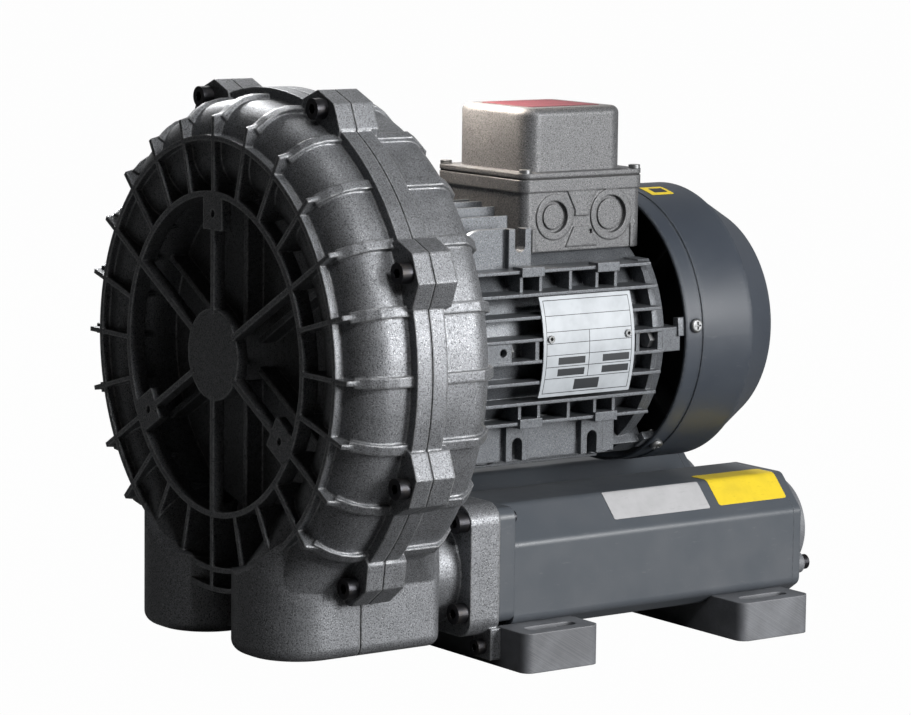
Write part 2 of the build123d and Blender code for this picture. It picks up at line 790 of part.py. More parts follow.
def end_windings():
    made = []
    for y0, y1 in ((core_front - winding_long, core_front), (core_rear, core_rear + winding_long)):
        points = [(core_inner_r + 3, y0), (frame_bore_r - 4, y0), (frame_bore_r - 4, y1), (core_inner_r + 3, y1)]
        made.append(turned(soft_section(points, [5, 5, 0, 0] if y1 == core_front else [0, 0, 5, 5])))
    return made


def rear_shield():
    """Rear end shield: bearing boss, wall, spigot and cowl bosses."""
    rear = rear_bearing_y + bearing_wide + 4
    boss_r = bearing_outer_r + 7
    front, back = frame_rear, frame_rear + shield_thick
    spigot = frame_bore_r - seat_gap
    body = turned(section((0, rear), (boss_r, rear), (boss_r, back + 2), (frame_bore_r, back),
                          (shield_r - 1, back), (shield_r, front), (spigot, front), (spigot, front - 4),
                          (spigot - 5, front - 4), (spigot - 6, front), (boss_r, front),
                          (boss_r - 1, rear_bearing_y - 3), (0, rear_bearing_y - 3)))
    more = shield_arms()
    for k in range(6):
        rib = block(boss_r - 2, barrel_r - 1, front + 2, back + 4, shaft_height - 2, shaft_height + 2)
        more.append(at_angle(rib, 30 + 60 * k))
    body = body + more - box_room(front - 1, box_rear + fit_gap) - shoulder_room(front - 1, rear + 1)
    cuts = [rod(bearing_outer_r + seat_gap, rear_bearing_y - 4, rear_bearing_y + bearing_wide + 1.2),
            rod(bearing_bore_r + 2, rear_bearing_y, rear + 1)]
    cuts += [rod(m6_r + seat_gap, front - 1, front + 13, x, z) for x, z in ear_spots()]
    cuts += [cowl_screw_hole(angle, m5_r - 0.2) for angle in cowl_screw_angles]
    return body - cuts


def shield_arms():
    """Bolt ears of the shield and, beside them, the four arms that carry the cowl."""
    front = frame_rear
    ear = block(frame_bore_r + 1, fin_r - 1.5, front, shield_ear_rear,
                shaft_height - ear_half, shaft_height + ear_half)
    made = [at_angle(ear, angle) for angle in ear_angles]
    reach = cowl_r - cowl_sheet - seat_gap
    arm = block(fan_r + 2.5, reach + 1, shield_ear_rear - 2.5, cowl_screw_y + 6, shaft_height - 6, shaft_height + 6)
    arm &= rod(reach, front, cowl_screw_y + 10)
    return made + [at_angle(arm, angle) for angle in cowl_screw_angles]


def cowl_screw_hole(angle, radius):
    hole = Pos(cowl_r - 16, cowl_screw_y, shaft_height) * Rot(0, 90, 0) \
        * Cylinder(radius, 30, align=(CENTRE, CENTRE, LOW))
    return at_angle(hole, angle)


def wave_spring():
    y = rear_bearing_y + bearing_wide
    return ring(bearing_bore_r + 6, bearing_outer_r - 1, y + 0.1, y + 1.1)


def hex_bolt(radius, head_r, head_high, length):
    """Hexagon bolt along +Z, head below z = 0."""
    head = Pos(0, 0, -head_high) * extrude(RegularPolygon(head_r, 6), head_high)
    return head + Cylinder(radius, length, align=(CENTRE, CENTRE, LOW))


def motor_bolts():
    """Bolts that clamp the frame to the casting and the shield to the frame."""
    front = hex_bolt(m6_r, 5.6, 4.0, front_pocket[0] - frame_front + adapter_ring - 1.5)
    rear = hex_bolt(m6_r, 5.6, 4.0, frame_rear - rear_pocket[1] + 12)
    made = [forward(front, x, front_pocket[0], z) for x, z in ear_spots()]
    return made + [rearward(rear, x, rear_pocket[1], z) for x, z in ear_spots()]


# ---- fan and cowl ----------------------------------------------------------------------------
def cooling_fan():
    """Radial fan with straight blades, so that it works in both directions."""
    back = fan_rear - 12
    body = turned(section((fan_seat_r + seat_gap, fan_front + 6), (18, fan_front + 6), (20, back - 8),
                          (fan_r - 1, back - 3), (fan_r - 1, back), (fan_seat_r + seat_gap, back)))
    outline = make_face(Polyline((19, fan_front + 8), (fan_r * 0.5, fan_front), (fan_r, fan_front + 3),
                                 (fan_r, fan_rear - 4), (fan_r * 0.55, fan_rear), (19, back - 1), close=True))
    blade = extrude(RADIAL * outline, 1.1, both=True)
    return body + [at_angle(blade, k * 360 / fan_blades) for k in range(fan_blades)]


def fan_clip():
    body = ring(fan_seat_r - 0.75, fan_seat_r + 3.5, fan_rear - 11.95, fan_rear - 10.65)
    return body - block(-3, 3, fan_rear - 13, fan_rear - 9, shaft_height, shaft_height + 20)


def fan_cowl():
    """Sheet cowl: rim, tapered end and a grille of curved slots."""
    outer = [(cowl_r, cowl_front), (cowl_r, cowl_edge), (cowl_rear_r, cowl_rear), (0, cowl_rear)]
    inner = [(0, cowl_rear - cowl_sheet), (cowl_rear_r - 0.8, cowl_rear - cowl_sheet),
             (cowl_r - cowl_sheet, cowl_edge - 0.6), (cowl_r - cowl_sheet, cowl_front)]
    body = turned(section(*(outer + inner)))
    body += ring(cowl_r - 0.5, cowl_r + 0.7, cowl_band_y, cowl_edge - 0.2)
    slots = []
    for row in range(4):
        r0 = 22 + row * 12
        slot = turned(section((r0, cowl_rear - 4), (r0 + 6.5, cowl_rear - 4), (r0 + 6.5, cowl_rear + 1),
                              (r0, cowl_rear + 1)), 360 / 6 - degrees(5 / r0))
        slots += [at_angle(slot, k * 60) for k in range(6)]
    body -= slots
    return body - [cowl_screw_hole(angle, m5_r + hole_gap) for angle in cowl_screw_angles]


def cowl_screws():
    """Pan-head screws through the cowl into the shield."""
    head = Cylinder(m5_head_r, 2.6, align=(CENTRE, CENTRE, LOW))
    head = fillet(head.edges().group_by(Axis.Z)[-1], 1.6)
    slot = Pos(0, 0, 1.4) * (Box(5, 1, 3, align=(CENTRE, CENTRE, LOW)) + Box(1, 5, 3, align=(CENTRE, CENTRE, LOW)))
    shank = Pos(0, 0, -10) * Cylinder(m5_r - 0.25, 10, align=(CENTRE, CENTRE, LOW))
    screw = Pos(cowl_r, cowl_screw_y, shaft_height) * Rot(0, 90, 0) * (head + shank - slot)
    return [at_angle(screw, angle) for angle in cowl_screw_angles]


# ---- terminal box ----------------------------------------------------------------------------
def upright(face, z0, z1):
    return Pos(0, 0, z0) * extrude(face, z1 - z0)


def box_plan(half_x, y0, y1, radius):
    return Pos(0, (y0 + y1) / 2) * RectangleRounded(2 * half_x, y1 - y0, radius)


def knockout_spots():
    middle = (box_front + box_rear) / 2
    return ((middle - 23.5, 10.3), (middle + 22.5, 12.2))


def side_relief():
    """Raised panels between and round the knock-outs of the right-hand wall."""
    wall, low, high = box_half - 1.2, box_bottom + 2.5, box_top - 7.9
    rings = [Pos(y, knockout_z) * Circle(radius + knockout_rim) for y, radius in knockout_spots()]
    rooms = [Pos(y, knockout_z) * Circle(radius + knockout_rim + 1) for y, radius in knockout_spots()]
    (front_y, front_r), (rear_y, rear_r) = knockout_spots()
    middle = (front_y + front_r + rear_y - rear_r) / 2
    key = make_face(Polyline((middle - 12, high), (middle + 12, high), (middle + 5.5, knockout_z + 4),
                             (middle + 5.5, knockout_z), (middle - 5.5, knockout_z),
                             (middle - 5.5, knockout_z + 4), close=True))
    foot = make_face(Polyline((middle - 13, low), (middle + 13, low), (middle + 6.5, knockout_z - 7),
                              (middle - 6.5, knockout_z - 7), close=True))
    stops = [Pos(y, low + 5) * Rectangle(3, 15) for y in (box_front + 9.5, box_rear - 9.5)]
    faces = rings + [key - rooms, foot - rooms] + stops
    return [extrude(Plane.YZ.offset(wall - 0.5) * face, relief + 0.5) for face in faces]


def terminal_base():
    """Terminal box base with knock-outs in both side walls, hollow below its floor."""
    body = upright(box_plan(box_half - 1.2, box_front + 1.2, box_rear - 1.2, 6), box_bottom, box_top - 8)
    body += upright(box_plan(box_half, box_front, box_rear, 7), box_top - 8, box_top)
    plan = box_plan(box_half - box_wall - 1.2, box_front + box_wall + 1.2, box_rear - box_wall - 1.2, 5)
    inner = box_plan(box_half - box_wall - 4, box_front + box_wall + 4, box_rear - box_wall - 4, 5)
    cuts = [upright(inner, box_floor + 4, box_top + 1), upright(plan, box_bottom - 1, box_floor),
            rod(barrel_r + fit_gap, box_front - 1, frame_rear + 1),
            block(-12, 12, box_front + 20, box_rear - 30, box_floor - 1, box_top)]
    body += [item for part in side_relief() for item in on_both_sides(part)]
    for y, radius in knockout_spots():
        disc = Cylinder(radius, 4, align=(CENTRE, CENTRE, LOW)) \
            - Cylinder(radius - 2.2, 1.5, align=(CENTRE, CENTRE, LOW))
        cuts += on_both_sides(Pos(box_half - 1.2 - 2.1, y, knockout_z) * Rot(0, 90, 0) * disc)
    drain = Pos(box_half - 3, knockout_spots()[1][0] - 16.5, knockout_z - 10.5) * Rot(0, 90, 0)
    cuts += on_both_sides(drain * Cylinder(1.6, 4, align=(CENTRE, CENTRE, LOW)))
    for x, y in lid_spots():
        cuts.append(Pos(x, y, box_top - 9) * Cylinder(m4_r, 12, align=(CENTRE, CENTRE, LOW)))
    for x, y in base_spots():
        cuts.append(Pos(x, y, box_floor - 1) * Cylinder(m5_r + hole_gap, 8, align=(CENTRE, CENTRE, LOW)))
    return body - cuts


def lid_spots():
    x = box_half - 5
    return [(sx * x, y) for sx in (-1, 1) for y in (box_front + 5, box_rear - 5)]


def base_spots():
    return [(sx * 35, y) for sx in (-1, 1) for y in (box_front + 16, frame_rear - 13)]


def lid_gasket():
    body = upright(box_plan(box_half - 0.6, box_front + 0.6, box_rear - 0.6, 6.4), box_top, box_top + 1.2)
    body -= upright(box_plan(lid_half - 2, lid_front + 2, lid_rear - 2, 6), box_top - 1, box_top + 3)
    return body - [Pos(x, y, box_top - 1) * Cylinder(m4_r + hole_gap, 8) for x, y in lid_spots()]


def terminal_lid():
    """Deep lid with rounded upright corners, on a screwed flange."""
    base = box_top + 1.2
    body = upright(box_plan(lid_half, lid_front, lid_rear, 11), base, lid_top)
    body = fillet(body.edges().group_by(Axis.Z)[-1], 5)
    body += upright(box_plan(box_half, box_front, box_rear, 7), base, base + lid_flange)
    inside = upright(box_plan(lid_half - box_wall, lid_front + box_wall, lid_rear - box_wall, 8), base - 1,
                     lid_top - 4)
    return body - [inside] - [Pos(x, y, base - 1) * Cylinder(m4_r + hole_gap, 12) for x, y in lid_spots()]


def lid_screws():
    z = box_top + 1.2 + lid_flange
    head = Pos(0, 0, z) * Cylinder(m4_head_r, 2.4, align=(CENTRE, CENTRE, LOW))
    shank = Pos(0, 0, z - 11) * Cylinder(m4_r - 0.1, 11, align=(CENTRE, CENTRE, LOW))
    return [Pos(x, y, 0) * (head + shank) for x, y in lid_spots()]


def base_screws():
    z = box_floor + 4
    head = Pos(0, 0, z) * Cylinder(m5_head_r, 3, align=(CENTRE, CENTRE, LOW))
    shank = Pos(0, 0, z - 12) * Cylinder(m5_r, 12, align=(CENTRE, CENTRE, LOW))
    return [Pos(x, y, 0) * (head + shank) for x, y in base_spots()]


def terminal_block():
    """Moulded block with ribs between its six studs."""
    middle = (box_front + box_rear) / 2 + 8
    z = box_floor + 4
    body = block(-28, 28, middle - 17, middle + 17, z, z + 12)
    body += [block(x - 1, x + 1, middle - 17, middle + 17, z + 11, z + 18) for x in (-27, -9, 9, 27)]
    return body - [Pos(x, y, z + 2) * Cylinder(m4_r, 20, align=(CENTRE, CENTRE, LOW)) for x, y in stud_spots()]


def stud_spots():
    middle = (box_front + box_rear) / 2 + 8
    return [(x, middle + sy * 9) for x in (-18, 0, 18) for sy in (-1, 1)]


def terminal_studs():
    z = box_floor + 4
    stud = Pos(0, 0, z + 2) * Cylinder(m4_r - 0.05, 22, align=(CENTRE, CENTRE, LOW))
    nut = Pos(0, 0, z + 12) * extrude(RegularPolygon(4.2, 6), 3.2)
    return [Pos(x, y, 0) * (stud + nut) for x, y in stud_spots()]


# ---- silencers and feet ----------------------------------------------------------------------
def silencer_outline(inset=0.0):
    """Cross-section of a silencer: chamfered box, about its own middle in X."""
    half = silencer_half - inset
    top, low = silencer_top - inset, silencer_bottom + inset
    side_top, side_low = silencer_top - top_chamfer_z - inset * 0.4, silencer_side_low + inset * 0.4
    tx, lx = top_chamfer_x - inset * 0.3, low_chamfer_x - inset * 0.3
    right = [(half, side_low), (half, side_top), (half - tx, top)]
    left = [(-x, z) for x, z in reversed(right)]
    bottom = [(-(half - lx), low), (half - lx, low)]
    face = make_face(Polyline(*(right + left + bottom), close=True))
    return Pos(duct_middle_x, 0) * fillet(face.vertices(), silencer_round - inset * 0.8)


def silencer_body():
    """Silencer casing of the right-hand side with its front plate, open at the rear."""
    rear = silencer_rear - cap_thick
    shell = along_y(silencer_outline(), silencer_front, rear)
    face = Pos(duct_middle_x, (plate_bottom + plate_top) / 2) \
        * RectangleRounded(flange_wide - 0.6, plate_top - plate_bottom, 7)
    plate = along_y(face, flange_rear, silencer_front)
    inside = along_y(silencer_outline(silencer_wall), silencer_front, rear + 1)
    body = shell - inside + plate
    body -= rod(neck_r - neck_wall, flange_rear - 1, silencer_front + 1, duct_middle_x, port_z)
    return body - [rod(m8_r + seat_gap, flange_rear - 1, silencer_front + (1 if z > port_z else -0.5), x, z)
                   for x, z in flange_spots()]


def silencer_cap():
    """Rear end plate of a silencer."""
    body = along_y(silencer_outline(), silencer_rear - cap_thick, silencer_rear)
    body -= rod(tube_r, silencer_rear - cap_thick - 1, silencer_rear + 1, duct_middle_x, port_z)
    return body - [rod(m6_r + hole_gap, silencer_rear - cap_thick - 1, part_rear, x, z) for x, z in cap_spots()]


def port_flange():
    """Threaded port with two ears, screwed to the end plate."""
    body = rod(port_boss_r, silencer_rear, part_rear, duct_middle_x, port_z)
    more = []
    for x, z in cap_spots():
        more.append(rod(port_ear_r, silencer_rear, silencer_rear + port_ear_thick, x, z))
        angle = degrees(atan2(z - port_z, x - duct_middle_x))
        arm = Pos(duct_middle_x, silencer_rear, port_z) * Rot(0, -angle, 0) \
            * Box(hypot(port_screw_x, port_screw_z), port_ear_thick, 2 * port_ear_r, align=(LOW, LOW, CENTRE))
        more.append(arm)
    body = body + more - rod(port_bore_r, silencer_rear - 1, part_rear + 1, duct_middle_x, port_z)
    return body - [rod(m6_r + hole_gap, silencer_rear - 1, part_rear, x, z) for x, z in cap_spots()]


def cap_spots():
    return [(duct_middle_x + side * port_screw_x, port_z - side * port_screw_z) for side in (-1, 1)]


def cap_screws():
    front = silencer_rear + port_ear_thick
    screw = socket_screw(m6_r, m6_head_r, m6_head_high, port_ear_thick + cap_thick + 9)
    made = [forward(screw, x, front, z) for x, z in cap_spots()]
    return made + [mirror(item, about=Plane.YZ) for item in made]


def with_screw_posts(body):
    """Add the posts inside the silencer that take the screws of its end plate."""
    rear = silencer_rear - cap_thick
    inside = along_y(silencer_outline(0.5), rear - 15, rear)
    posts = [rod(m6_r + 3.2, rear - 14, rear, x, z) & inside for x, z in cap_spots()]
    return body + posts - [rod(m6_r + seat_gap, rear - 12, rear + 1, x, z) for x, z in cap_spots()]


def foam_liner():
    """Sound-absorbing sleeve round the perforated tube."""
    front, rear = silencer_front + 6, silencer_rear - cap_thick - 18
    body = along_y(silencer_outline(silencer_wall + 0.3), front, rear)
    return body - rod(tube_r + tube_wall + 0.3, front - 1, rear + 1, duct_middle_x, port_z)


def perforated_tube():
    front, rear = silencer_front, silencer_rear - cap_thick
    body = rod(tube_r + tube_wall, front, rear, duct_middle_x, port_z) \
        - rod(tube_r, front - 1, rear + 1, duct_middle_x, port_z)
    holes = []
    for k in range(5):
        y = front + 35 + k * 38
        holes.append(block(duct_middle_x - 40, duct_middle_x + 40, y, y + 6, port_z - 3, port_z + 3))
        holes.append(block(duct_middle_x - 3, duct_middle_x + 3, y + 16, y + 22, port_z - 40, port_z + 40))
    return body - holes


def foot_bar(y0):
    """Foot bar with a pocket for each silencer and a slot at each end."""
    y1 = y0 + foot_wide
    body = block(-foot_half, foot_half, y0, y1, 0, foot_high)
    body = fillet(body.edges().filter_by(Axis.Z), foot_corner)
    cuts = on_both_sides(along_y(silencer_outline(), y0 - 1, y1 + 1))
    for side in (-1, 1):
        slot = SlotOverall(foot_slot_long, foot_slot_wide, rotation=90)
        cuts.append(extrude(Pos(side * foot_slot_x, (y0 + y1) / 2, -1) * slot, foot_high + 2))
    return body - cuts


def front_foot():
    body = foot_bar(foot_front_y) - foot_screw_holes(foot_front_y)
    return body - [rod(m6_r - 0.2, foot_front_y - 1, foot_front_y + 14, x, z) for x, z in foot_lug_spots()]


def foot_screw_spots(y0):
    """Screws up through a foot bar into the silencers."""
    return [(sx * (duct_middle_x + dx), y0 + foot_wide / 2) for sx in (-1, 1) for dx in (-20, 20)]


def foot_screw_holes(y0):
    made = []
    for x, y in foot_screw_spots(y0):
        made.append(Pos(x, y, -1) * Cylinder(m6_r + hole_gap, silencer_bottom + 2, align=(CENTRE, CENTRE, LOW)))
        made.append(Pos(x, y, -1) * Cylinder(m6_head_r + 1, 8.5, align=(CENTRE, CENTRE, LOW)))
    return made


def foot_screw_room():
    """Tapped holes in the floor of the right-hand silencer."""
    spots = foot_screw_spots(foot_front_y) + foot_screw_spots(foot_rear_y)
    return [Pos(x, y, silencer_bottom - 1) * Cylinder(m6_r + seat_gap, silencer_wall + 2,
                                                     align=(CENTRE, CENTRE, LOW))
            for x, y in spots if x > 0]


def foot_screws():
    screw = socket_screw(m6_r, m6_head_r, m6_head_high, silencer_bottom + silencer_wall - 7.5 - 0.2)
    made = []
    for y0 in (foot_front_y, foot_rear_y):
        made += [Pos(x, y, 7.5) * screw for x, y in foot_screw_spots(y0)]
    return made


# ---- fasteners of the casting ------------------------------------------------------------------
def housing_bolts():
    screw = socket_screw(m8_r, m8_head_r, m8_head_high, lug_front + lug_rear - 3)
    return [rearward(screw, x, -lug_front, z) for x, z in bolt_spots()]


def flange_bolts():
    """Bolts of the duct flanges; the upper ones come out behind the silencer plate."""
    reach = silencer_front - flange_front
    short = socket_screw(m8_r, m8_head_r, m8_head_high, reach - 1)
    long = socket_screw(m8_r, m8_head_r, m8_head_high, reach + 3.5)
    return [rearward(long if z > port_z else short, x, flange_front, z) for x, z in flange_spots()]


def foot_lug_screws():
    front = flange_rear - foot_lug_deep
    screw = socket_screw(m6_r - 0.25, m6_head_r, m6_head_high, foot_front_y - front + 12)
    return [rearward(screw, x, front, z) for x, z in foot_lug_spots()]


# ---- rating plate ------------------------------------------------------------------------------
def rating_plate():
    """Bare plate bent round the tips of the side fins."""
    inner = fin_r + seat_gap
    body = ring(inner, inner + plate_thick, plate_front, plate_rear)
    body &= block(0, fin_r + 5, plate_front, plate_rear, plate_low, plate_high)
    return body - [rivet_rod(y, 1.7, fin_r - 5, fin_r + 3) for y in rivet_spots()]


def rivet_spots():
    return (plate_front + 5.5, plate_rear - 5.5)


def rivet_rod(y, radius, x0, x1):
    return Pos(x0, y, shaft_height + fin_pitch / 2) * Rot(0, 90, 0) \
        * Cylinder(radius, x1 - x0, align=(CENTRE, CENTRE, LOW))


def plate_rivets():
    head = fin_r + 1.2
    return [rivet_rod(y, 1.6, fin_r - 8, head) + rivet_rod(y, 2.4, head, head + 0.8)
            - rivet_rod(y, 1.1, head - 1.5, head + 1) for y in rivet_spots()]


def write(name, shape):
    """Write one node, moved to the origin of the part."""
    solids = shape if isinstance(shape, (list, tuple)) else [shape]
    solids = [solid for item in solids for solid in item.solids()]
    placed = [TO_ORIGIN * solid for solid in solids]
    whole = placed[0] if len(placed) == 1 else Compound(children=placed)
    whole.label = name
    export_step(whole, os.path.join("parts", name + ".step"))


def main():
    os.makedirs("parts", exist_ok=True)
    front, rear = casting_halves()
    write("front_cover", front)
    write("rear_housing", rear)
    write("joint_gasket", joint_gasket())
    write("impeller", impeller_body())
    write("impeller_key", key_space())
    write("impeller_washer", impeller_washer())
    write("impeller_screw", impeller_screw())
    write("shaft_seal", shaft_seal())
    write("motor_shaft", motor_shaft())
    write("rotor_core", rotor_core())
    for name, y in (("front_bearing", front_bearing_y), ("rear_bearing", rear_bearing_y)):
        outer, inner, balls = bearing(y)
        write(name + "_outer_ring", outer)
        write(name + "_inner_ring", inner)
        write(name + "_balls", balls)
    write("stator_frame", stator_frame())
    write("stator_core", stator_core())
    write("end_windings", end_windings())
    write("rear_shield", rear_shield())
    write("wave_spring", wave_spring())
    write("motor_bolts", motor_bolts())
    write("cooling_fan", cooling_fan())
    write("fan_clip", fan_clip())
    write("fan_cowl", fan_cowl())
    write("cowl_screws", cowl_screws())
    write("terminal_base", terminal_base())
    write("lid_gasket", lid_gasket())
    write("terminal_lid", terminal_lid())
    write("lid_screws", lid_screws())
    write("base_screws", base_screws())
    write("terminal_block", terminal_block())
    write("terminal_studs", terminal_studs())
    pieces = {"silencer": with_screw_posts(silencer_body()) - foot_screw_room(), "silencer_cap": silencer_cap(),
              "silencer_foam": foam_liner(), "silencer_tube": perforated_tube(), "port_flange": port_flange()}
    for name, shape in pieces.items():
        write(name + "_right", shape)
        write(name + "_left", mirror(shape, about=Plane.YZ))
    write("foot_bar_front", front_foot())
    write("foot_bar_rear", foot_bar(foot_rear_y) - foot_screw_holes(foot_rear_y))
    write("foot_screws", foot_screws())
    write("housing_bolts", housing_bolts())
    write("flange_bolts", flange_bolts())
    write("foot_lug_screws", foot_lug_screws())
    write("cap_screws", cap_screws())
    write("rating_plate", rating_plate())
    write("plate_rivets", plate_rivets())


main()
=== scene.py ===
"""Looks of a side channel blower: cast, painted and plated finishes, plates and stickers, light and camera.

Lengths are metres in the scene and millimetres in the sizes of the classes.
"""

import logging
import math
from collections.abc import Callable, Iterable, Mapping
from dataclasses import dataclass, field
from typing import Any

import bmesh
import bpy
from mathutils import Matrix, Vector


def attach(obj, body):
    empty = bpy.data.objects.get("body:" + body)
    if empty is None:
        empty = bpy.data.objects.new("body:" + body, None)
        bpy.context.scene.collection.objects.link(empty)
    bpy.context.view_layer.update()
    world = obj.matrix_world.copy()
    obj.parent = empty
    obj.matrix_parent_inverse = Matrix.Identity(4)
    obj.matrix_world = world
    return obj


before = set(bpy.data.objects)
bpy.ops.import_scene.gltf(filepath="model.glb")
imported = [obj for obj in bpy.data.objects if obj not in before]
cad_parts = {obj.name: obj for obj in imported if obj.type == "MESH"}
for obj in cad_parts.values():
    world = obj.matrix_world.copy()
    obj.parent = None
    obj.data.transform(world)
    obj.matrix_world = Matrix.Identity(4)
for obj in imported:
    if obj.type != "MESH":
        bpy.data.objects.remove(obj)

logging.basicConfig(level=logging.INFO, format="%(message)s")
log = logging.getLogger("blower")

MM = 0.001
SHAFT_HEIGHT = 197.3
JOINT_Y = -153.65
CHAMFER_FOOT = (96.7, 77.2)
CHAMFER_RUN = (-20.8, 22.1)
CHAMFER_BEND = 6.5
COWL_RADIUS = 92.0
LID_TOP = 345.5
SHEET_BASE = 0.05
SMOOTH_BELOW = 40.0
Colour = tuple[float, float, float]
Number = float | int


# ---- shader expressions ----------------------------------------------------------------------
class Term:
    """A shader value that takes part in Python expressions."""

    def __init__(self, graph: "Graph", socket: bpy.types.NodeSocket) -> None:
        """Wrap a socket of a graph.

        Args:
            graph: The graph that the socket belongs to.
            socket: The output socket to wrap.
        """
        self.graph = graph
        self.socket = socket

    def _math(self, operation: str, *values: "Term | Number") -> "Term":
        """Add a Math node with an operation on some values.

        Args:
            operation: The operation of the Math node.
            values: Its inputs in order.

        Returns:
            The result as a new term.
        """
        node = self.graph.add("ShaderNodeMath", {"operation": operation}, dict(enumerate(values)))
        return Term(self.graph, node.outputs[0])

    def __add__(self, other: "Term | Number") -> "Term":
        """Sum of two values."""
        return self._math("ADD", self, other)

    def __radd__(self, other: Number) -> "Term":
        """Sum with a number on the left."""
        return self._math("ADD", other, self)

    def __sub__(self, other: "Term | Number") -> "Term":
        """Difference of two values."""
        return self._math("SUBTRACT", self, other)

    def __rsub__(self, other: Number) -> "Term":
        """Difference with a number on the left."""
        return self._math("SUBTRACT", other, self)

    def __mul__(self, other: "Term | Number") -> "Term":
        """Product of two values."""
        return self._math("MULTIPLY", self, other)

    def __rmul__(self, other: Number) -> "Term":
        """Product with a number on the left."""
        return self._math("MULTIPLY", other, self)

    def __abs__(self) -> "Term":
        """Size of a value without its sign."""
        return self._math("ABSOLUTE", self)

    def __gt__(self, other: "Term | Number") -> "Term":
        """One where the value is the larger, otherwise zero."""
        return self._math("GREATER_THAN", self, other)

    def __lt__(self, other: "Term | Number") -> "Term":
        """One where the value is the smaller, otherwise zero."""
        return self._math("LESS_THAN", self, other)

    def largest(self, other: "Term | Number") -> "Term":
        """Larger of two values."""
        return self._math("MAXIMUM", self, other)

    def repeated(self, period: Number) -> "Term":
        """Value wrapped into one period, centred on zero."""
        return self._math("WRAP", self, period / 2, -period / 2)

    def ramp(self, low: Number, high: Number, start: Number = 0.0, end: Number = 1.0) -> "Term":
        """Clamped linear map of the value.

        Args:
            low: Value that maps to start.
            high: Value that maps to end.
            start: Result at and before low.
            end: Result at and after high.

        Returns:
            The mapped value.
        """
        node = self.graph.add("ShaderNodeMapRange", {"clamp": True}, {
            "Value": self, "From Min": low, "From Max": high, "To Min": start, "To Max": end})
        return Term(self.graph, node.outputs[0])


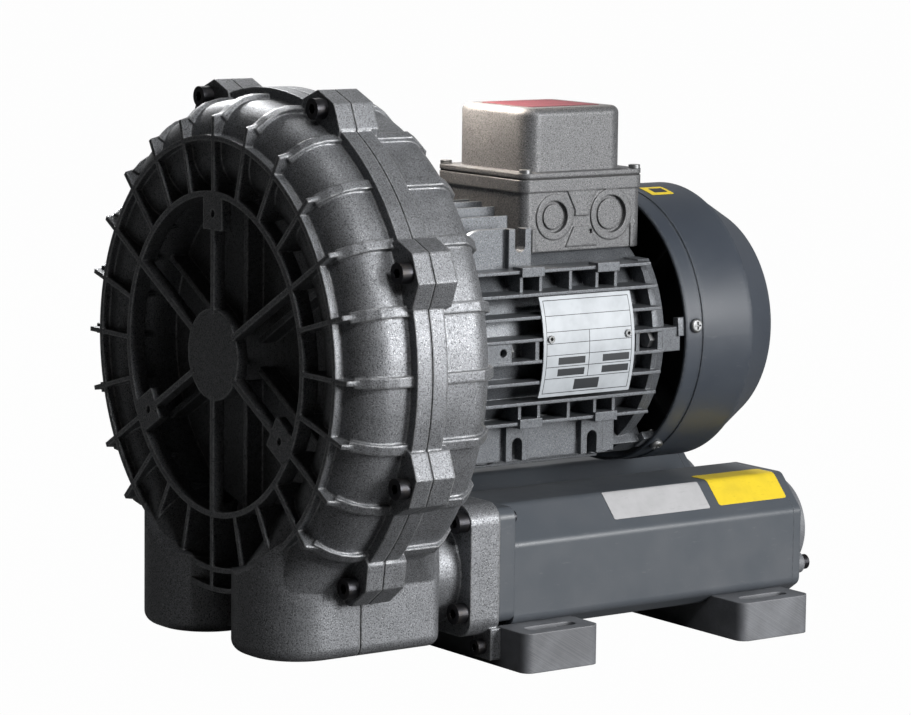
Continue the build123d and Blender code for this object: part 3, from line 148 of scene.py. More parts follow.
class Graph:
    """Node tree of one material or of the world."""

    def __init__(self, owner: bpy.types.Material | bpy.types.World) -> None:
        """Empty the node tree of its owner.

        Args:
            owner: Material or world that the nodes belong to.
        """
        self.owner = owner
        owner.use_nodes = True
        self.tree = owner.node_tree
        self.tree.nodes.clear()
        self._coords: bpy.types.Node | None = None

    @classmethod
    def named(cls, name: str) -> "Graph":
        """Graph of a new material.

        Args:
            name: Name of the material.

        Returns:
            Its empty graph.
        """
        return cls(bpy.data.materials.new(name))

    def add(self, kind: str, settings: Mapping[str, Any] | None = None,
            sockets: Mapping[str | int, Any] | None = None) -> bpy.types.Node:
        """Add a node, set it up and feed its sockets.

        Args:
            kind: Type of the node.
            settings: Properties to set before the sockets.
            sockets: Values, terms or sockets by the name or index of the input.

        Returns:
            The new node.
        """
        node = self.tree.nodes.new(kind)
        for key, value in (settings or {}).items():
            setattr(node, key, value)
        for key, value in (sockets or {}).items():
            target = node.inputs[key]
            if isinstance(value, Term):
                self.tree.links.new(value.socket, target)
            elif isinstance(value, bpy.types.NodeSocket):
                self.tree.links.new(value, target)
            elif isinstance(value, (tuple, list)) and target.type == "RGBA" and len(value) == 3:
                target.default_value = (*value, 1.0)
            else:
                target.default_value = value
        return node

    def place(self) -> bpy.types.NodeSocket:
        """Object coordinates, shared by the whole graph."""
        if self._coords is None:
            self._coords = self.add("ShaderNodeTexCoord")
        return self._coords.outputs["Object"]

    def axis(self, letter: str) -> Term:
        """One object coordinate in millimetres.

        Args:
            letter: X, Y or Z.

        Returns:
            The coordinate as a term.
        """
        split = self.add("ShaderNodeSeparateXYZ", sockets={0: self.place()})
        return Term(self, split.outputs[letter]) * 1000.0

    def noise(self, size: float, detail: float = 3.0, rough: float = 0.55,
              stretch: tuple[float, float, float] = (1, 1, 1)) -> Term:
        """Cloudy pattern.

        Args:
            size: Size of its patches in millimetres.
            detail: Levels of finer detail.
            rough: Strength of the finer levels.
            stretch: Factor on the coordinates along each axis.

        Returns:
            The pattern, about 0.5 on average.
        """
        vector = self.place()
        if stretch != (1, 1, 1):
            vector = self.add("ShaderNodeMapping", sockets={"Vector": vector, "Scale": stretch}).outputs[0]
        node = self.add("ShaderNodeTexNoise", sockets={
            "Vector": vector, "Scale": 1.0 / (size * MM), "Detail": detail, "Roughness": rough})
        return Term(self, node.outputs[0])

    def cells(self, size: float) -> Term:
        """Cell pattern.

        Args:
            size: Size of a cell in millimetres.

        Returns:
            Distance from the middle of the nearest cell.
        """
        node = self.add("ShaderNodeTexVoronoi", {"feature": "F1"},
                        {"Vector": self.place(), "Scale": 1.0 / (size * MM)})
        return Term(self, node.outputs["Distance"])

    def mix(self, first: Any, second: Any, share: Term | Number) -> bpy.types.NodeSocket:
        """Blend of two colours.

        Args:
            first: Colour or socket at share 0.
            second: Colour or socket at share 1.
            share: How much of the second colour shows.

        Returns:
            The blended colour's socket.
        """
        node = self.add("ShaderNodeMix", {"data_type": "RGBA"}, {0: share, 6: first, 7: second})
        return node.outputs[2]

    def edges(self, radius: float) -> tuple[bpy.types.NodeSocket, Term]:
        """Normals rounded over the edges, and where those edges are.

        Args:
            radius: Radius of the rounding in millimetres.

        Returns:
            The rounded normal's socket, and a term that rises towards the edges.
        """
        bevel = self.add("ShaderNodeBevel", {"samples": 6}, {"Radius": radius * MM})
        flat = self.add("ShaderNodeNewGeometry")
        dot = self.add("ShaderNodeVectorMath", {"operation": "DOT_PRODUCT"},
                       {0: bevel.outputs[0], 1: flat.outputs["Normal"]})
        return bevel.outputs[0], 1.0 - Term(self, dot.outputs["Value"])

    def bump(self, height: Term, depth: float,
             normal: bpy.types.NodeSocket | None = None) -> bpy.types.NodeSocket:
        """Bumped normal.

        Args:
            height: The pattern of the relief.
            depth: Depth in millimetres where the pattern goes from 0 to 1.
            normal: Normal that the relief is laid over.

        Returns:
            The normal's socket.
        """
        sockets: dict[str | int, Any] = {"Height": height, "Distance": depth * MM, "Strength": 1.0}
        if normal is not None:
            sockets["Normal"] = normal
        return self.add("ShaderNodeBump", sockets=sockets).outputs[0]

    def finish(self, **sockets: Any) -> bpy.types.Material:
        """Close the graph with a principled surface.

        Args:
            sockets: Inputs of the surface, with underscores for spaces.

        Returns:
            The finished material.
        """
        fed = {key.replace("_", " "): value for key, value in sockets.items()}
        shader = self.add("ShaderNodeBsdfPrincipled", sockets=fed)
        self.add("ShaderNodeOutputMaterial", sockets={"Surface": shader.outputs[0]})
        return self.owner


# ---- finishes --------------------------------------------------------------------------------
@dataclass(frozen=True)
class Finish:
    """A named surface finish with the name of its material slot."""

    name: str
    slot: str

    def build(self) -> bpy.types.Material:
        """Make the material; each finish has its own."""
        raise NotImplementedError


@dataclass(frozen=True)
class CastPaint(Finish):
    """Thin flake paint over a casting: grainy, with painted glints, and lighter along its edges, partly worn
    paint and partly painted highlight.
    """

    body: Colour
    worn: Colour
    grain: float = 0.9
    relief: float = 0.16
    rough: float = 0.43
    wear: float = 0.5
    rounding: float = 2.0
    flake: float = 0.6

    def build(self) -> bpy.types.Material:
        """Make the material.

        Returns:
            The painted casting's material.
        """
        g = Graph.named(self.name)
        normal, edge = g.edges(self.rounding)
        grain = g.noise(self.grain, 2.0, 0.7)
        swell = g.noise(14.0, 2.0, 0.5)
        pits = g.cells(self.grain * 2.2).ramp(0.08, 0.3)
        # Light specks mixed into the base colour: painted glints of the flake paint, which are also made
        # glossier.
        painted_glint = g.noise(self.grain * 0.8, 1.0, 0.5).ramp(0.6, 0.74)
        tone = g.mix(self.body, shaded(self.body, 1.12), swell.ramp(0.35, 0.7))
        tone = g.mix(tone, shaded(self.body, 0.36), grain.ramp(0.52, 0.34))
        tone = g.mix(shaded(self.body, 0.3), tone, pits)
        # Painted glints: the specks take the worn colour.
        tone = g.mix(tone, self.worn, painted_glint * 0.5)
        # Lighter along the edges: partly rubbed paint, partly painted highlight where the edges would catch
        # the light.
        rubbed = edge.ramp(0.02, 0.22) * g.noise(4.0, 4.0, 0.7).ramp(0.35, 0.62)
        tone = g.mix(tone, self.worn, rubbed * self.wear)
        relief = grain * 0.6 + swell * 0.35 + pits * 0.3
        rough = swell.ramp(0.3, 0.7, self.rough - 0.04, self.rough + 0.06) - painted_glint * 0.16 - rubbed * 0.12
        return g.finish(Base_Color=tone, Roughness=rough, Metallic=self.flake, Specular_IOR_Level=0.5,
                        Normal=g.bump(relief, self.relief, normal))


@dataclass(frozen=True)
class SatinPaint(Finish):
    """Smooth satin paint with slight orange peel, dust and rubbed edges."""

    body: Colour
    tint: Colour
    worn: Colour
    rough: float = 0.38
    peel: float = 0.02
    dust: float = 0.25
    wear: float = 0.35
    rounding: float = 1.2

    def build(self) -> bpy.types.Material:
        """Make the material.

        Returns:
            The satin paint's material.
        """
        g = Graph.named(self.name)
        normal, edge = g.edges(self.rounding)
        cloud = g.noise(38.0, 3.0, 0.55)
        fine = g.noise(0.45, 2.0, 0.6)
        peel = g.noise(1.6, 1.0, 0.4)
        tone = g.mix(self.body, self.tint, cloud.ramp(0.4, 0.72))
        tone = g.mix(tone, shaded(self.body, 1.35), fine.ramp(0.56, 0.74) * 0.4)
        scuff = g.noise(2.4, 3.0, 0.7, (1, 0.2, 1)).ramp(0.64, 0.7)
        tone = g.mix(tone, self.worn, scuff * self.dust * 0.35)
        rubbed = edge.ramp(0.03, 0.25) * g.noise(3.0, 4.0, 0.7).ramp(0.42, 0.62)
        tone = g.mix(tone, self.worn, rubbed * self.wear)
        rough = cloud.ramp(0.3, 0.7, self.rough - 0.05, self.rough + 0.07) + scuff * 0.08
        relief = peel * 0.6 + fine * 0.4
        return g.finish(Base_Color=tone, Roughness=rough, Specular_IOR_Level=0.5,
                        Normal=g.bump(relief, self.peel, normal))


@dataclass(frozen=True)
class SawnPaint(Finish):
    """Painted bar whose sawn ends show slanting blade marks."""

    body: Colour
    worn: Colour

    def build(self) -> bpy.types.Material:
        """Make the material.

        Returns:
            The bar's material.
        """
        g = Graph.named(self.name)
        normal, edge = g.edges(1.3)
        side = g.add("ShaderNodeSeparateXYZ", sockets={0: g.add("ShaderNodeNewGeometry").outputs["Normal"]})
        end = abs(Term(g, side.outputs["X"])).ramp(0.7, 0.9)
        slant = g.axis("Y") * 0.6 + g.axis("Z")
        marks = Term(g, g.add("ShaderNodeTexNoise", {"noise_dimensions": "1D"},
                              {"W": slant * 1.4, "Scale": 1.0, "Detail": 3.0}).outputs[0])
        grain = g.noise(0.5, 2.0, 0.6)
        cloud = g.noise(22.0, 3.0, 0.6)
        tone = g.mix(self.body, shaded(self.body, 1.5), cloud.ramp(0.4, 0.7))
        tone = g.mix(tone, shaded(self.body, 0.6), grain.ramp(0.45, 0.3) * 0.7)
        tone = g.mix(tone, self.worn, end * marks.ramp(0.42, 0.62) * 0.22)
        tone = g.mix(tone, self.worn, edge.ramp(0.03, 0.25) * 0.4)
        relief = grain * 0.4 + end * marks * 0.5
        return g.finish(Base_Color=tone, Roughness=cloud.ramp(0.3, 0.7, 0.42, 0.55),
                        Normal=g.bump(relief, 0.12, normal))


@dataclass(frozen=True)
class Metal(Finish):
    """Bare or plated metal with fine machining marks and some staining."""

    body: Colour
    stain: Colour
    rough: float = 0.3
    marks: float = 0.02

    def build(self) -> bpy.types.Material:
        """Make the material.

        Returns:
            The metal's material.
        """
        g = Graph.named(self.name)
        normal, edge = g.edges(0.35)
        fine = g.noise(0.35, 2.0, 0.6)
        cloud = g.noise(6.0, 4.0, 0.6)
        tone = g.mix(self.body, self.stain, cloud.ramp(0.48, 0.72) * 0.6)
        tone = g.mix(tone, tuple(min(1.0, c * 1.3) for c in self.body), edge.ramp(0.05, 0.3) * 0.5)
        rough = cloud.ramp(0.3, 0.7, self.rough - 0.05, self.rough + 0.12) + fine * 0.06
        return g.finish(Base_Color=tone, Roughness=rough, Metallic=1.0,
                        Normal=g.bump(fine, self.marks, normal))


@dataclass(frozen=True)
class Matt(Finish):
    """Plain matt stuff: rubber, plastic, sheet gasket."""

    body: Colour
    pale: Colour
    rough: float = 0.6
    grain: float = 0.6
    relief: float = 0.05

    def build(self) -> bpy.types.Material:
        """Make the material.

        Returns:
            The matt material.
        """
        g = Graph.named(self.name)
        normal, edge = g.edges(0.5)
        grain = g.noise(self.grain, 3.0, 0.65)
        cloud = g.noise(12.0, 3.0, 0.6)
        tone = g.mix(self.body, self.pale, cloud.ramp(0.42, 0.75) * 0.6 + edge.ramp(0.05, 0.3) * 0.3)
        return g.finish(Base_Color=tone, Roughness=cloud.ramp(0.3, 0.7, self.rough - 0.06, self.rough + 0.1),
                        Normal=g.bump(grain, self.relief, normal))


@dataclass(frozen=True)
class Foam(Finish):
    """Open-cell foam, its pores painted darker as painted shade."""

    body: Colour

    def build(self) -> bpy.types.Material:
        """Make the material.

        Returns:
            The foam's material.
        """
        g = Graph.named(self.name)
        holes = g.cells(1.3).ramp(0.1, 0.5)
        # The pores are painted dark: painted shade in the foam's hollows.
        tone = g.mix(shaded(self.body, 0.3), self.body, holes)
        return g.finish(Base_Color=tone, Roughness=0.95, Normal=g.bump(holes, 0.5))


@dataclass(frozen=True)
class Sheets(Finish):
    """Stack of thin steel sheets seen on its edges."""

    body: Colour

    def build(self) -> bpy.types.Material:
        """Make the material.

        Returns:
            The sheet stack's material.
        """
        g = Graph.named(self.name)
        gap = abs(g.axis("Y").repeated(0.5)).ramp(0.05, 0.16)
        cloud = g.noise(8.0, 3.0, 0.6)
        tone = g.mix(shaded(self.body, 0.4), self.body, gap)
        tone = g.mix(tone, (0.12, 0.07, 0.04), cloud.ramp(0.55, 0.8) * 0.5)
        return g.finish(Base_Color=tone, Roughness=cloud.ramp(0.3, 0.7, 0.4, 0.6), Metallic=0.8,
                        Normal=g.bump(gap, 0.08))


@dataclass(frozen=True)
class Winding(Finish):
    """Varnished copper turns, painted darker towards the creases between them as painted shade."""

    body: Colour

    def build(self) -> bpy.types.Material:
        """Make the material.

        Returns:
            The winding's material.
        """
        g = Graph.named(self.name)
        turns = abs((g.axis("Y") + g.noise(9.0) * 3.0).repeated(1.1)).ramp(0.0, 0.5, 1.0, 0.0)
        # Each turn is painted darker towards its neighbours: painted shade in the creases between the round
        # turns.
        tone = g.mix(shaded(self.body, 0.35), self.body, turns)
        return g.finish(Base_Color=tone, Roughness=turns.ramp(0.0, 1.0, 0.5, 0.3), Metallic=0.7,
                        Coat_Weight=turns * 0.4, Normal=g.bump(turns, 0.4))


@dataclass(frozen=True)
class RuledPlate(Finish):
    """Pale enamelled plate with ruled blank fields and a few dark ones."""

    body: Colour
    ink: Colour
    y: tuple[float, float]
    z: tuple[float, float]
    levels: tuple[float, ...] = (12.0, 19.5, 27.0, 34.5, 42.0, 52.0)
    rim: float = 2.2
    line: float = 0.5

    def build(self) -> bpy.types.Material:
        """Make the material.

        Returns:
            The plate's material.
        """
        g = Graph.named(self.name)
        y = g.axis("Y") - (self.y[0] + JOINT_Y)
        z = g.axis("Z") - self.z[0]
        wide, high = self.y[1] - self.y[0], self.z[1] - self.z[0]
        outer, inner, half = self.rim, self.rim + self.line, self.line / 2
        ink = self._box(y, z, outer, wide - outer, outer, high - outer)
        ink -= self._box(y, z, inner, wide - inner, inner, high - inner)
        for level in self.levels:
            ink = ink.largest(self._box(y, z, 2.4, wide - 2.4, level - 0.22, level + 0.22))
        ink = ink.largest(self._box(y, z, wide / 2 - half, wide / 2 + half, 12.0, 42.0))
        for y0, y1, z0, z1 in self._fields(wide):
            ink = ink.largest(self._box(y, z, y0, y1, z0, z1))
        cloud = g.noise(14.0, 3.0, 0.6)
        tone = g.mix(self.body, shaded(self.body, 0.82), cloud.ramp(0.4, 0.75))
        tone = g.mix(tone, self.ink, ink * 0.95)
        return g.finish(Base_Color=tone, Roughness=cloud.ramp(0.3, 0.7, 0.42, 0.55),
                        Normal=g.bump(g.noise(1.2), 0.01))

    @staticmethod
    def _fields(wide: float) -> list[tuple[float, float, float, float]]:
        """Dark fields on the plate, as low and high along it and up it.

        Args:
            wide: Width of the plate in millimetres.

        Returns:
            One tuple per field.
        """
        left = [(12.0, wide / 2 - 3.0, level, level + 4.6) for level in (13.4, 20.8)]
        right = [(wide / 2 + 11.0, wide - 4.0, level, level + 4.6) for level in (13.4, 20.8)]
        return left + right + [(wide / 2 - 10.0, wide / 2 + 10.0, 3.8, 10.6)]

    @staticmethod
    def _box(y: Term, z: Term, y0: float, y1: float, z0: float, z1: float) -> Term:
        """Mask of a rectangle on the plate.

        Args:
            y: Distance along the plate.
            z: Distance up the plate.
            y0: Start along it.
            y1: End along it.
            z0: Lower edge.
            z1: Upper edge.

        Returns:
            One inside and zero outside.
        """
        across = (y > y0) * (y < y1)
        return across * ((z > z0) * (z < z1))


@dataclass(frozen=True)
class Enamel(Finish):
    """One colour of printed sheet or film, a little scuffed and darker round its rim."""

    body: Colour
    rough: float = 0.35

    def build(self) -> bpy.types.Material:
        """Make the material.

        Returns:
            The sheet's material.
        """
        g = Graph.named(self.name)
        normal, edge = g.edges(0.4)
        cloud = g.noise(16.0, 3.0, 0.6)
        scuff = g.noise(1.6, 3.0, 0.7, (1, 0.15, 1)).ramp(0.62, 0.7)
        tone = g.mix(self.body, shaded(self.body, 0.86), cloud.ramp(0.4, 0.75))
        tone = g.mix(tone, shaded(self.body, 0.6), scuff * 0.35 + edge.ramp(0.05, 0.3) * 0.4)
        rough = cloud.ramp(0.3, 0.7, self.rough - 0.04, self.rough + 0.08) + scuff * 0.1
        return g.finish(Base_Color=tone, Roughness=rough, Normal=normal)


# ---- geometry helpers ------------------------------------------------------------------------
def shaded(colour: Colour, factor: float) -> Colour:
    """Colour made darker or lighter by a factor."""
    return (colour[0] * factor, colour[1] * factor, colour[2] * factor)


def direction(azimuth: float, elevation: float) -> Vector:
    """Unit vector away from the blower.

    Args:
        azimuth: Degrees from its front towards its right-hand side.
        elevation: Degrees above the floor.

    Returns:
        The direction in the scene.
    """
    turn, rise = math.radians(azimuth), math.radians(elevation)
    return Vector((math.sin(turn) * math.cos(rise), -math.cos(turn) * math.cos(rise), math.sin(rise)))


def polar(radius: float, angle: float, y: float) -> Vector:
    """Point round the shaft.

    Args:
        radius: Distance from the shaft in millimetres.
        angle: Degrees from +X towards +Z.
        y: Distance behind the joint plane in millimetres.

    Returns:
        The point in metres.
    """
    turn = math.radians(angle)
    return Vector((radius * math.cos(turn), y + JOINT_Y, SHAFT_HEIGHT + radius * math.sin(turn))) * MM


def make_object(name: str, mesh: bmesh.types.BMesh) -> bpy.types.Object:
    """Turn a bmesh into a linked object with smooth shading.

    Args:
        name: Name of the piece.
        mesh: The mesh, which is freed.

    Returns:
        The new object.
    """
    data = bpy.data.meshes.new(name)
    mesh.to_mesh(data)
    mesh.free()
    piece = bpy.data.objects.new(name, data)
    bpy.context.scene.collection.objects.link(piece)
    data.shade_smooth()
    data.set_sharp_from_angle(angle=math.radians(SMOOTH_BELOW))
    return piece


def over_chamfer(y: float, along: float, lift: float) -> Vector:
    """Point on the right-hand silencer, measured up its chamfer and over onto its top.

    Args:
        y: Distance behind the joint plane in millimetres.
        along: Distance from the lower corner of the chamfer.
        lift: Height above the paint.

    Returns:
        The point in metres.
    """
    low, run, bend = Vector(CHAMFER_FOOT), Vector(CHAMFER_RUN), CHAMFER_BEND
    turn = math.pi / 2 - math.atan2(-CHAMFER_RUN[0], CHAMFER_RUN[1])
    flat = run.length - bend * math.tan(turn / 2)
    run.normalize()
    out = Vector((run.y, -run.x))
    angle = min(max(along - flat, 0.0) / bend, turn)
    centre = low + run * min(along, flat) - out * bend
    normal = Matrix.Rotation(angle, 2) @ out
    past = max(along - flat - bend * turn, 0.0)
    spot = centre + normal * (bend + lift) - Vector((past, 0.0))
    return Vector((spot.x, y + JOINT_Y, spot.y)) * MM


def over_cowl(y: float, along: float, lift: float) -> Vector:
    """Point on the cowl.

    Args:
        y: Distance behind the joint plane in millimetres.
        along: Distance round the cowl from the side towards the top.
        lift: Height above the paint.

    Returns:
        The point in metres.
    """
    return polar(COWL_RADIUS + lift, math.degrees(along / COWL_RADIUS), y)


def over_lid(y: float, along: float, lift: float) -> Vector:
    """Point on top of the lid of the terminal box.

    Args:
        y: Distance behind the joint plane in millimetres.
        along: Distance across the lid from its middle.
        lift: Height above the paint.

    Returns:
        The point in metres.
    """
    return Vector((-along, y + JOINT_Y, LID_TOP + lift)) * MM


def laid_sheet(name: str, y: tuple[float, float], along: tuple[float, float], corner: float, thick: float,
               surface: Callable[[float, float, float], Vector]) -> bpy.types.Object:
    """Thin sheet with rounded corners, laid over a surface.

    Args:
        name: Name of the piece.
        y: Its start and end along the shaft.
        along: Its start and end over the surface.
        corner: Radius of its corners.
        thick: Its thickness.
        surface: Gives the point for a place on the surface and a height above it.

    Returns:
        The sheet as an object.
    """
    mesh = bmesh.new()
    middle = Matrix.Translation(((y[0] + y[1]) / 2, (along[0] + along[1]) / 2, SHEET_BASE))
    scale = Matrix.Diagonal((y[1] - y[0], along[1] - along[0], 1.0, 1.0))
    bmesh.ops.create_grid(mesh, x_segments=1, y_segments=1, size=0.5, matrix=middle @ scale)
    bmesh.ops.bevel(mesh, geom=mesh.verts[:], offset=corner, offset_type="OFFSET", segments=6, profile=0.5,
                    affect="VERTICES", material=-1)
    steps = max(2, round(along[1] - along[0]))
    for k in range(1, steps):
        level = along[0] + (along[1] - along[0]) * k / steps
        bmesh.ops.bisect_plane(mesh, geom=mesh.verts[:] + mesh.edges[:] + mesh.faces[:],
                               plane_co=(0.0, level, 0.0), plane_no=(0.0, 1.0, 0.0))
    top = bmesh.ops.extrude_face_region(mesh, geom=mesh.faces[:])["geom"]
    bmesh.ops.translate(mesh, verts=[item for item in top if isinstance(item, bmesh.types.BMVert)],
                        vec=(0.0, 0.0, thick))
    for vertex in mesh.verts:
        vertex.co = surface(*vertex.co)
    bmesh.ops.recalc_face_normals(mesh, faces=mesh.faces[:])
    return make_object(name, mesh)


@dataclass
class Workshop:
    """Gives nodes and pieces their finishes and reports them."""

    made: dict[str, bpy.types.Material] = field(default_factory=dict)

    def coat(self, piece: bpy.types.Object, finish: Finish) -> None:
        """Give an object a finish.

        Args:
            piece: The object to finish.
            finish: Its finish.
        """
        if finish.name not in self.made:
            self.made[finish.name] = finish.build()
        piece.data.materials.clear()
        piece.data.materials.append(self.made[finish.name])

    def dress(self, finish: Finish, nodes: Iterable[str]) -> None:
        """Give carried-over nodes a finish.

        Args:
            finish: The finish.
            nodes: Names of the nodes.
        """
        for name in nodes:
            self.coat(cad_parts[name], finish)
            log.info("%s: %s", name, finish.name)

    def add(self, piece: bpy.types.Object, finish: Finish, body: str) -> None:
        """Finish a new piece and let it ride a body.

        Args:
            piece: The piece.
            finish: Its finish.
            body: The body that carries it.
        """
        self.coat(piece, finish)
        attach(piece, body)
        log.info("%s: %s on %s", piece.name, finish.name, body)


# ---- the finishes of this blower -------------------------------------------------------------
# In the cast paints the worn colour also makes the painted glints, and along the edges it is partly wear and
# partly painted highlight.
CASTING = CastPaint("casting paint", "casting_paint", (0.215, 0.222, 0.235), (0.62, 0.63, 0.64),
                    relief=0.2, rough=0.48, wear=0.8, rounding=2.2)
FRAME_PAINT = CastPaint("motor frame paint", "motor_paint", (0.125, 0.134, 0.147), (0.45, 0.46, 0.47),
                        grain=0.7, relief=0.07, rough=0.42, wear=0.5, rounding=0.9, flake=0.4)
BOX_PAINT = CastPaint("terminal box paint", "box_paint", (0.13, 0.132, 0.137), (0.45, 0.45, 0.45),
                      grain=0.8, relief=0.1, rough=0.46, wear=0.4, rounding=1.4, flake=0.3)
SILENCER_PAINT = SatinPaint("silencer paint", "silencer_paint", (0.075, 0.085, 0.098), (0.083, 0.091, 0.103),
                            (0.3, 0.3, 0.3))
COWL_PAINT = SatinPaint("cowl paint", "cowl_paint", (0.042, 0.05, 0.064), (0.047, 0.056, 0.07),
                        (0.25, 0.26, 0.27), rough=0.4, peel=0.01, rounding=5.0)
FITTING_PAINT = SawnPaint("fitting paint", "fitting_paint", (0.11, 0.115, 0.125), (0.34, 0.34, 0.35))
BLACK_STEEL = Metal("blackened steel", "blackened_steel", (0.05, 0.05, 0.055), (0.09, 0.08, 0.07), rough=0.4)
ZINC = Metal("zinc plate", "zinc_steel", (0.26, 0.265, 0.27), (0.16, 0.16, 0.15), rough=0.42)
GROUND = Metal("ground steel", "ground_steel", (0.6, 0.61, 0.62), (0.45, 0.44, 0.42), rough=0.2)
ALUMINIUM = Metal("bare aluminium", "bare_aluminium", (0.68, 0.69, 0.7), (0.5, 0.5, 0.49),
                  rough=0.36, marks=0.05)
TUBE = Metal("perforated tube", "tube_steel", (0.45, 0.45, 0.45), (0.3, 0.28, 0.26), rough=0.42)
BRASS = Metal("turned brass", "brass", (0.72, 0.54, 0.24), (0.5, 0.34, 0.15), rough=0.27)
SHEETS = Sheets("lamination edges", "lamination_steel", (0.22, 0.21, 0.2))
COPPER = Winding("varnished copper", "copper_wire", (0.6, 0.28, 0.14))
RUBBER = Matt("black rubber", "sealing_rubber", (0.022, 0.022, 0.023), (0.05, 0.05, 0.05), rough=0.65)
GASKET = Matt("gasket sheet", "gasket_sheet", (0.05, 0.055, 0.052), (0.11, 0.12, 0.11), rough=0.8)
PLASTIC = Matt("black plastic", "black_plastic", (0.022, 0.022, 0.024), (0.045, 0.045, 0.047), rough=0.42)
LINING = Foam("silencer foam", "foam", (0.1, 0.1, 0.105))
PLATE = RuledPlate("rating plate", "plate_metal", (0.47, 0.5, 0.53), (0.008, 0.01, 0.013),
                   (139.0, 212.0), (166.5, 230.5))
GREY_LABEL = Enamel("blank grey label", "plate_metal", (0.46, 0.46, 0.47), rough=0.45)
YELLOW_LABEL = Enamel("blank yellow label", "plate_metal", (0.78, 0.58, 0.03), rough=0.45)
RED_LABEL = Enamel("blank dark red label", "plate_metal", (0.1, 0.006, 0.014), rough=0.5)


@dataclass
class Casting:
    """Ribbed cover and housing with their fasteners and inner parts."""

    shop: Workshop

    def build(self) -> None:
        """Dress the casting, the impeller and what holds them."""
        self.shop.dress(CASTING, ("front_cover", "rear_housing"))
        self.shop.dress(GASKET, ("joint_gasket",))
        self.shop.dress(BLACK_STEEL, ("housing_bolts", "flange_bolts", "foot_lug_screws", "cap_screws"))
        self.shop.dress(ALUMINIUM, ("impeller",))
        self.shop.dress(ZINC, ("impeller_screw", "impeller_washer"))
        self.shop.dress(GROUND, ("impeller_key", "motor_shaft", "front_bearing_outer_ring",
                                 "front_bearing_inner_ring", "front_bearing_balls"))
        self.shop.dress(RUBBER, ("shaft_seal",))


@dataclass
class Motor:
    """Finned frame, its inner parts, the shield, fan and cowl."""

    shop: Workshop

    def build(self) -> None:
        """Dress the motor."""
        self.shop.dress(FRAME_PAINT, ("stator_frame", "rear_shield"))
        self.shop.dress(COWL_PAINT, ("fan_cowl",))
        self.shop.dress(ZINC, ("cowl_screws", "motor_bolts", "plate_rivets"))
        self.shop.dress(GROUND, ("rear_bearing_outer_ring", "rear_bearing_inner_ring", "rear_bearing_balls",
                                 "wave_spring", "fan_clip"))
        self.shop.dress(SHEETS, ("stator_core", "rotor_core"))
        self.shop.dress(COPPER, ("end_windings",))
        self.shop.dress(PLASTIC, ("cooling_fan",))
        self.shop.dress(PLATE, ("rating_plate",))
        sticker = laid_sheet("cowl_label", (274.0, 293.0), (115.0, 130.0), 1.5, 0.15, over_cowl)
        self.shop.add(sticker, YELLOW_LABEL, "base")
        window = laid_sheet("cowl_label_field", (279.0, 290.0), (118.5, 126.5), 0.6, 0.2, over_cowl)
        self.shop.add(window, PLASTIC, "base")


@dataclass
class TerminalBox:
    """Terminal box with its lid and terminals."""

    shop: Workshop

    def build(self) -> None:
        """Dress the terminal box."""
        self.shop.dress(BOX_PAINT, ("terminal_base", "terminal_lid"))
        self.shop.dress(RUBBER, ("lid_gasket",))
        self.shop.dress(ZINC, ("lid_screws", "base_screws"))
        self.shop.dress(PLASTIC, ("terminal_block",))
        self.shop.dress(BRASS, ("terminal_studs",))
        sticker = laid_sheet("lid_label", (173.0, 231.0), (-27.0, 27.0), 3.0, 0.25, over_lid)
        self.shop.add(sticker, RED_LABEL, "base")


@dataclass
class Silencers:
    """Both silencers, their ports and the foot bars."""

    shop: Workshop

    def build(self) -> None:
        """Dress the silencers and feet."""
        for side in ("right", "left"):
            self.shop.dress(SILENCER_PAINT, (f"silencer_{side}", f"silencer_cap_{side}"))
            self.shop.dress(FITTING_PAINT, (f"port_flange_{side}",))
            self.shop.dress(LINING, (f"silencer_foam_{side}",))
            self.shop.dress(TUBE, (f"silencer_tube_{side}",))
        grey = laid_sheet("grey_label", (198.2, 278.2), (8.8, 30.2), 1.2, 0.3, over_chamfer)
        self.shop.add(grey, GREY_LABEL, "base")
        yellow = laid_sheet("yellow_label", (286.5, 344.8), (9.8, 46.5), 2.0, 0.15, over_chamfer)
        self.shop.add(yellow, YELLOW_LABEL, "base")
        self.shop.dress(FITTING_PAINT, ("foot_bar_front", "foot_bar_rear"))
        self.shop.dress(ZINC, ("foot_screws",))


# ---- light and camera ------------------------------------------------------------------------
@dataclass(frozen=True)
class Lamp:
    """Soft area lamp aimed at the blower."""

    name: str
    azimuth: float
    elevation: float
    distance: float
    size: float
    power: float
    colour: Colour = (1.0, 1.0, 1.0)
    target: tuple[float, float, float] = (0.0, 0.0, 0.18)

    def place(self) -> None:
        """Hang the lamp and aim it at its target."""
        away = direction(self.azimuth, self.elevation)
        data = bpy.data.lights.new(self.name, "AREA")
        data.shape = "DISK"
        data.size = self.size
        data.energy = self.power
        data.color = self.colour
        lamp = bpy.data.objects.new(self.name, data)
        lamp.location = Vector(self.target) + away * self.distance
        lamp.rotation_euler = away.to_track_quat("Z", "Y").to_euler()
        lamp.visible_camera = False
        bpy.context.scene.collection.objects.link(lamp)


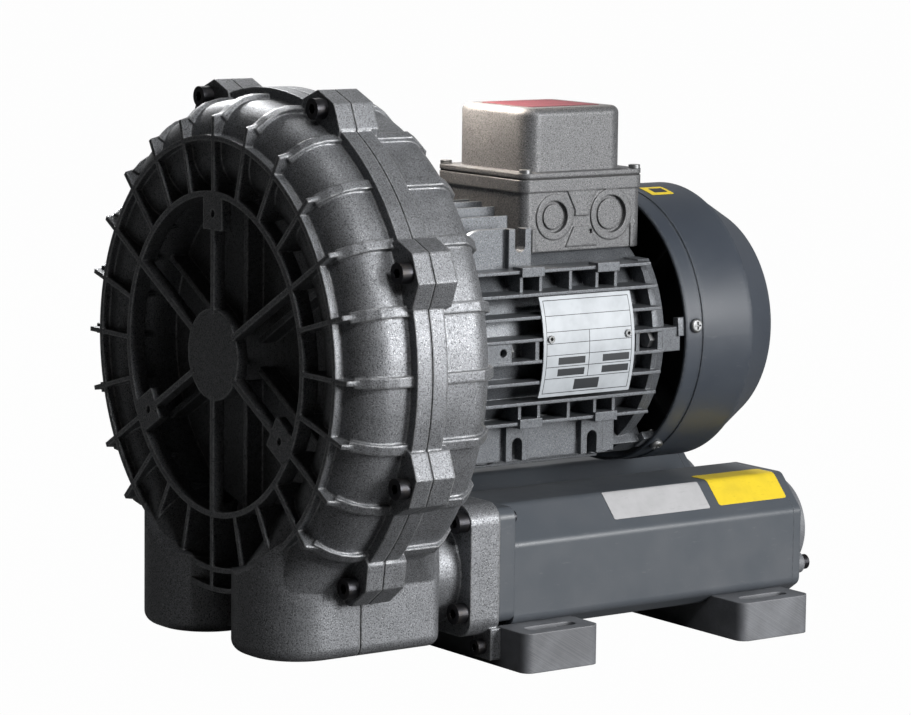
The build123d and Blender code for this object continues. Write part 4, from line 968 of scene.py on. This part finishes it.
@dataclass
class Studio:
    """Floor, lamps, world and camera."""

    azimuth: float = 53.915
    elevation: float = 7.786
    roll: float = 0.7227
    distance: float = 2363.5
    focal: float = 3641.68
    width: float = 911.0
    target: tuple[float, float, float] = (0.0, 136.04, 182.57)
    floor_half: float = 12.0
    sensor: float = 36.0

    def build(self) -> None:
        """Set up everything round the blower."""
        self._floor()
        self._world()
        for lamp in (Lamp("key lamp", 114.0, 12.0, 2.4, 1.1, 62.0),
                     Lamp("edge lamp", 84.0, 40.0, 2.2, 0.45, 17.0),
                     Lamp("top lamp", 60.0, 78.0, 0.8, 0.35, 0.8),
                     Lamp("rim lamp", -104.0, 36.0, 2.2, 0.7, 34.0),
                     Lamp("box lamp", -12.0, 28.0, 0.22, 0.1, 0.7, (1.0, 0.88, 0.76), (0.01, 0.17, 0.3)),
                     Lamp("fill lamp", 25.0, 15.0, 3.0, 1.4, 0.4, (1.0, 0.88, 0.76))):
            lamp.place()
        self._camera()
        bpy.context.scene.view_settings.view_transform = "Standard"

    def _back(self) -> Vector:
        """Direction from the blower towards the camera."""
        return direction(self.azimuth, self.elevation)

    @staticmethod
    def _mirrored(g: Graph, path: bpy.types.Node) -> Term:
        """One for rays that left a mirroring or clear surface.

        Args:
            g: The graph that the light path belongs to.
            path: Its Light Path node.

        Returns:
            The mask as a term.
        """
        clear = Term(g, path.outputs["Is Transmission Ray"])
        return Term(g, path.outputs["Is Glossy Ray"]).largest(clear)

    def _floor(self) -> None:
        """Lay a wide pale floor that keeps a light shadow."""
        mesh = bmesh.new()
        bmesh.ops.create_grid(mesh, x_segments=1, y_segments=1, size=self.floor_half)
        floor = make_object("floor", mesh)
        g = Graph.named("pale floor")
        path = g.add("ShaderNodeLightPath")
        mirrored = self._mirrored(g, path)
        depth = g.add("ShaderNodeVectorMath", {"operation": "DOT_PRODUCT"}, {0: g.place(), 1: self._back()})
        behind = Term(g, depth.outputs["Value"]).ramp(-0.6, -2.5, 0.0, 0.15)
        seen = (Term(g, path.outputs["Is Camera Ray"]) * 0.985).largest(mirrored * behind)
        matt = g.add("ShaderNodeBsdfDiffuse", sockets={"Color": (0.15, 0.15, 0.15)})
        glow = g.add("ShaderNodeEmission", sockets={"Color": (1.0, 1.0, 1.0), "Strength": 1.0})
        both = g.add("ShaderNodeMixShader", sockets={0: seen, 1: matt.outputs[0], 2: glow.outputs[0]})
        g.add("ShaderNodeOutputMaterial", sockets={"Surface": both.outputs[0]})
        floor.data.materials.append(g.owner)

    def _world(self) -> None:
        """White behind the blower to the eye and in reflections, and dim as a light."""
        world = bpy.data.worlds.new("studio")
        bpy.context.scene.world = world
        g = Graph(world)
        path = g.add("ShaderNodeLightPath")
        mirrored = self._mirrored(g, path)
        towards = g.add("ShaderNodeVectorMath", {"operation": "DOT_PRODUCT"},
                        {0: g.add("ShaderNodeTexCoord").outputs["Generated"], 1: self._back()})
        behind = Term(g, towards.outputs["Value"]).ramp(0.0, -0.8, 0.0, 0.22)
        strength = (mirrored * behind).largest(Term(g, path.outputs["Is Camera Ray"])).largest(0.003)
        back = g.add("ShaderNodeBackground", sockets={"Color": (1.0, 1.0, 1.0), "Strength": strength})
        g.add("ShaderNodeOutputWorld", sockets={"Surface": back.outputs[0]})

    def _camera(self) -> None:
        """Create the camera at the fitted place."""
        turn, roll = math.radians(self.azimuth), math.radians(self.roll)
        back = self._back()
        right = Vector((math.cos(turn), math.sin(turn), 0.0))
        up = back.cross(right)
        side = right * math.cos(roll) + up * math.sin(roll)
        top = up * math.cos(roll) - right * math.sin(roll)
        target = Vector((self.target[0], self.target[1] + JOINT_Y, self.target[2]))
        data = bpy.data.cameras.new("camera")
        data.sensor_fit = "HORIZONTAL"
        data.sensor_width = self.sensor
        data.lens = self.focal / self.width * self.sensor
        data.clip_end = 50.0
        camera = bpy.data.objects.new("camera", data)
        camera.matrix_world = Matrix.Translation((target + back * self.distance) * MM) @ Matrix(
            (side, top, back)).transposed().to_4x4()
        bpy.context.scene.collection.objects.link(camera)
        bpy.context.scene.camera = camera


def main() -> None:
    """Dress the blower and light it."""
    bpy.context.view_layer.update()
    shop = Workshop()
    for group in (Casting(shop), Motor(shop), TerminalBox(shop), Silencers(shop)):
        group.build()
        log.info("built %s", type(group).__name__)
    Studio().build()


if __name__ == "__main__":
    main()
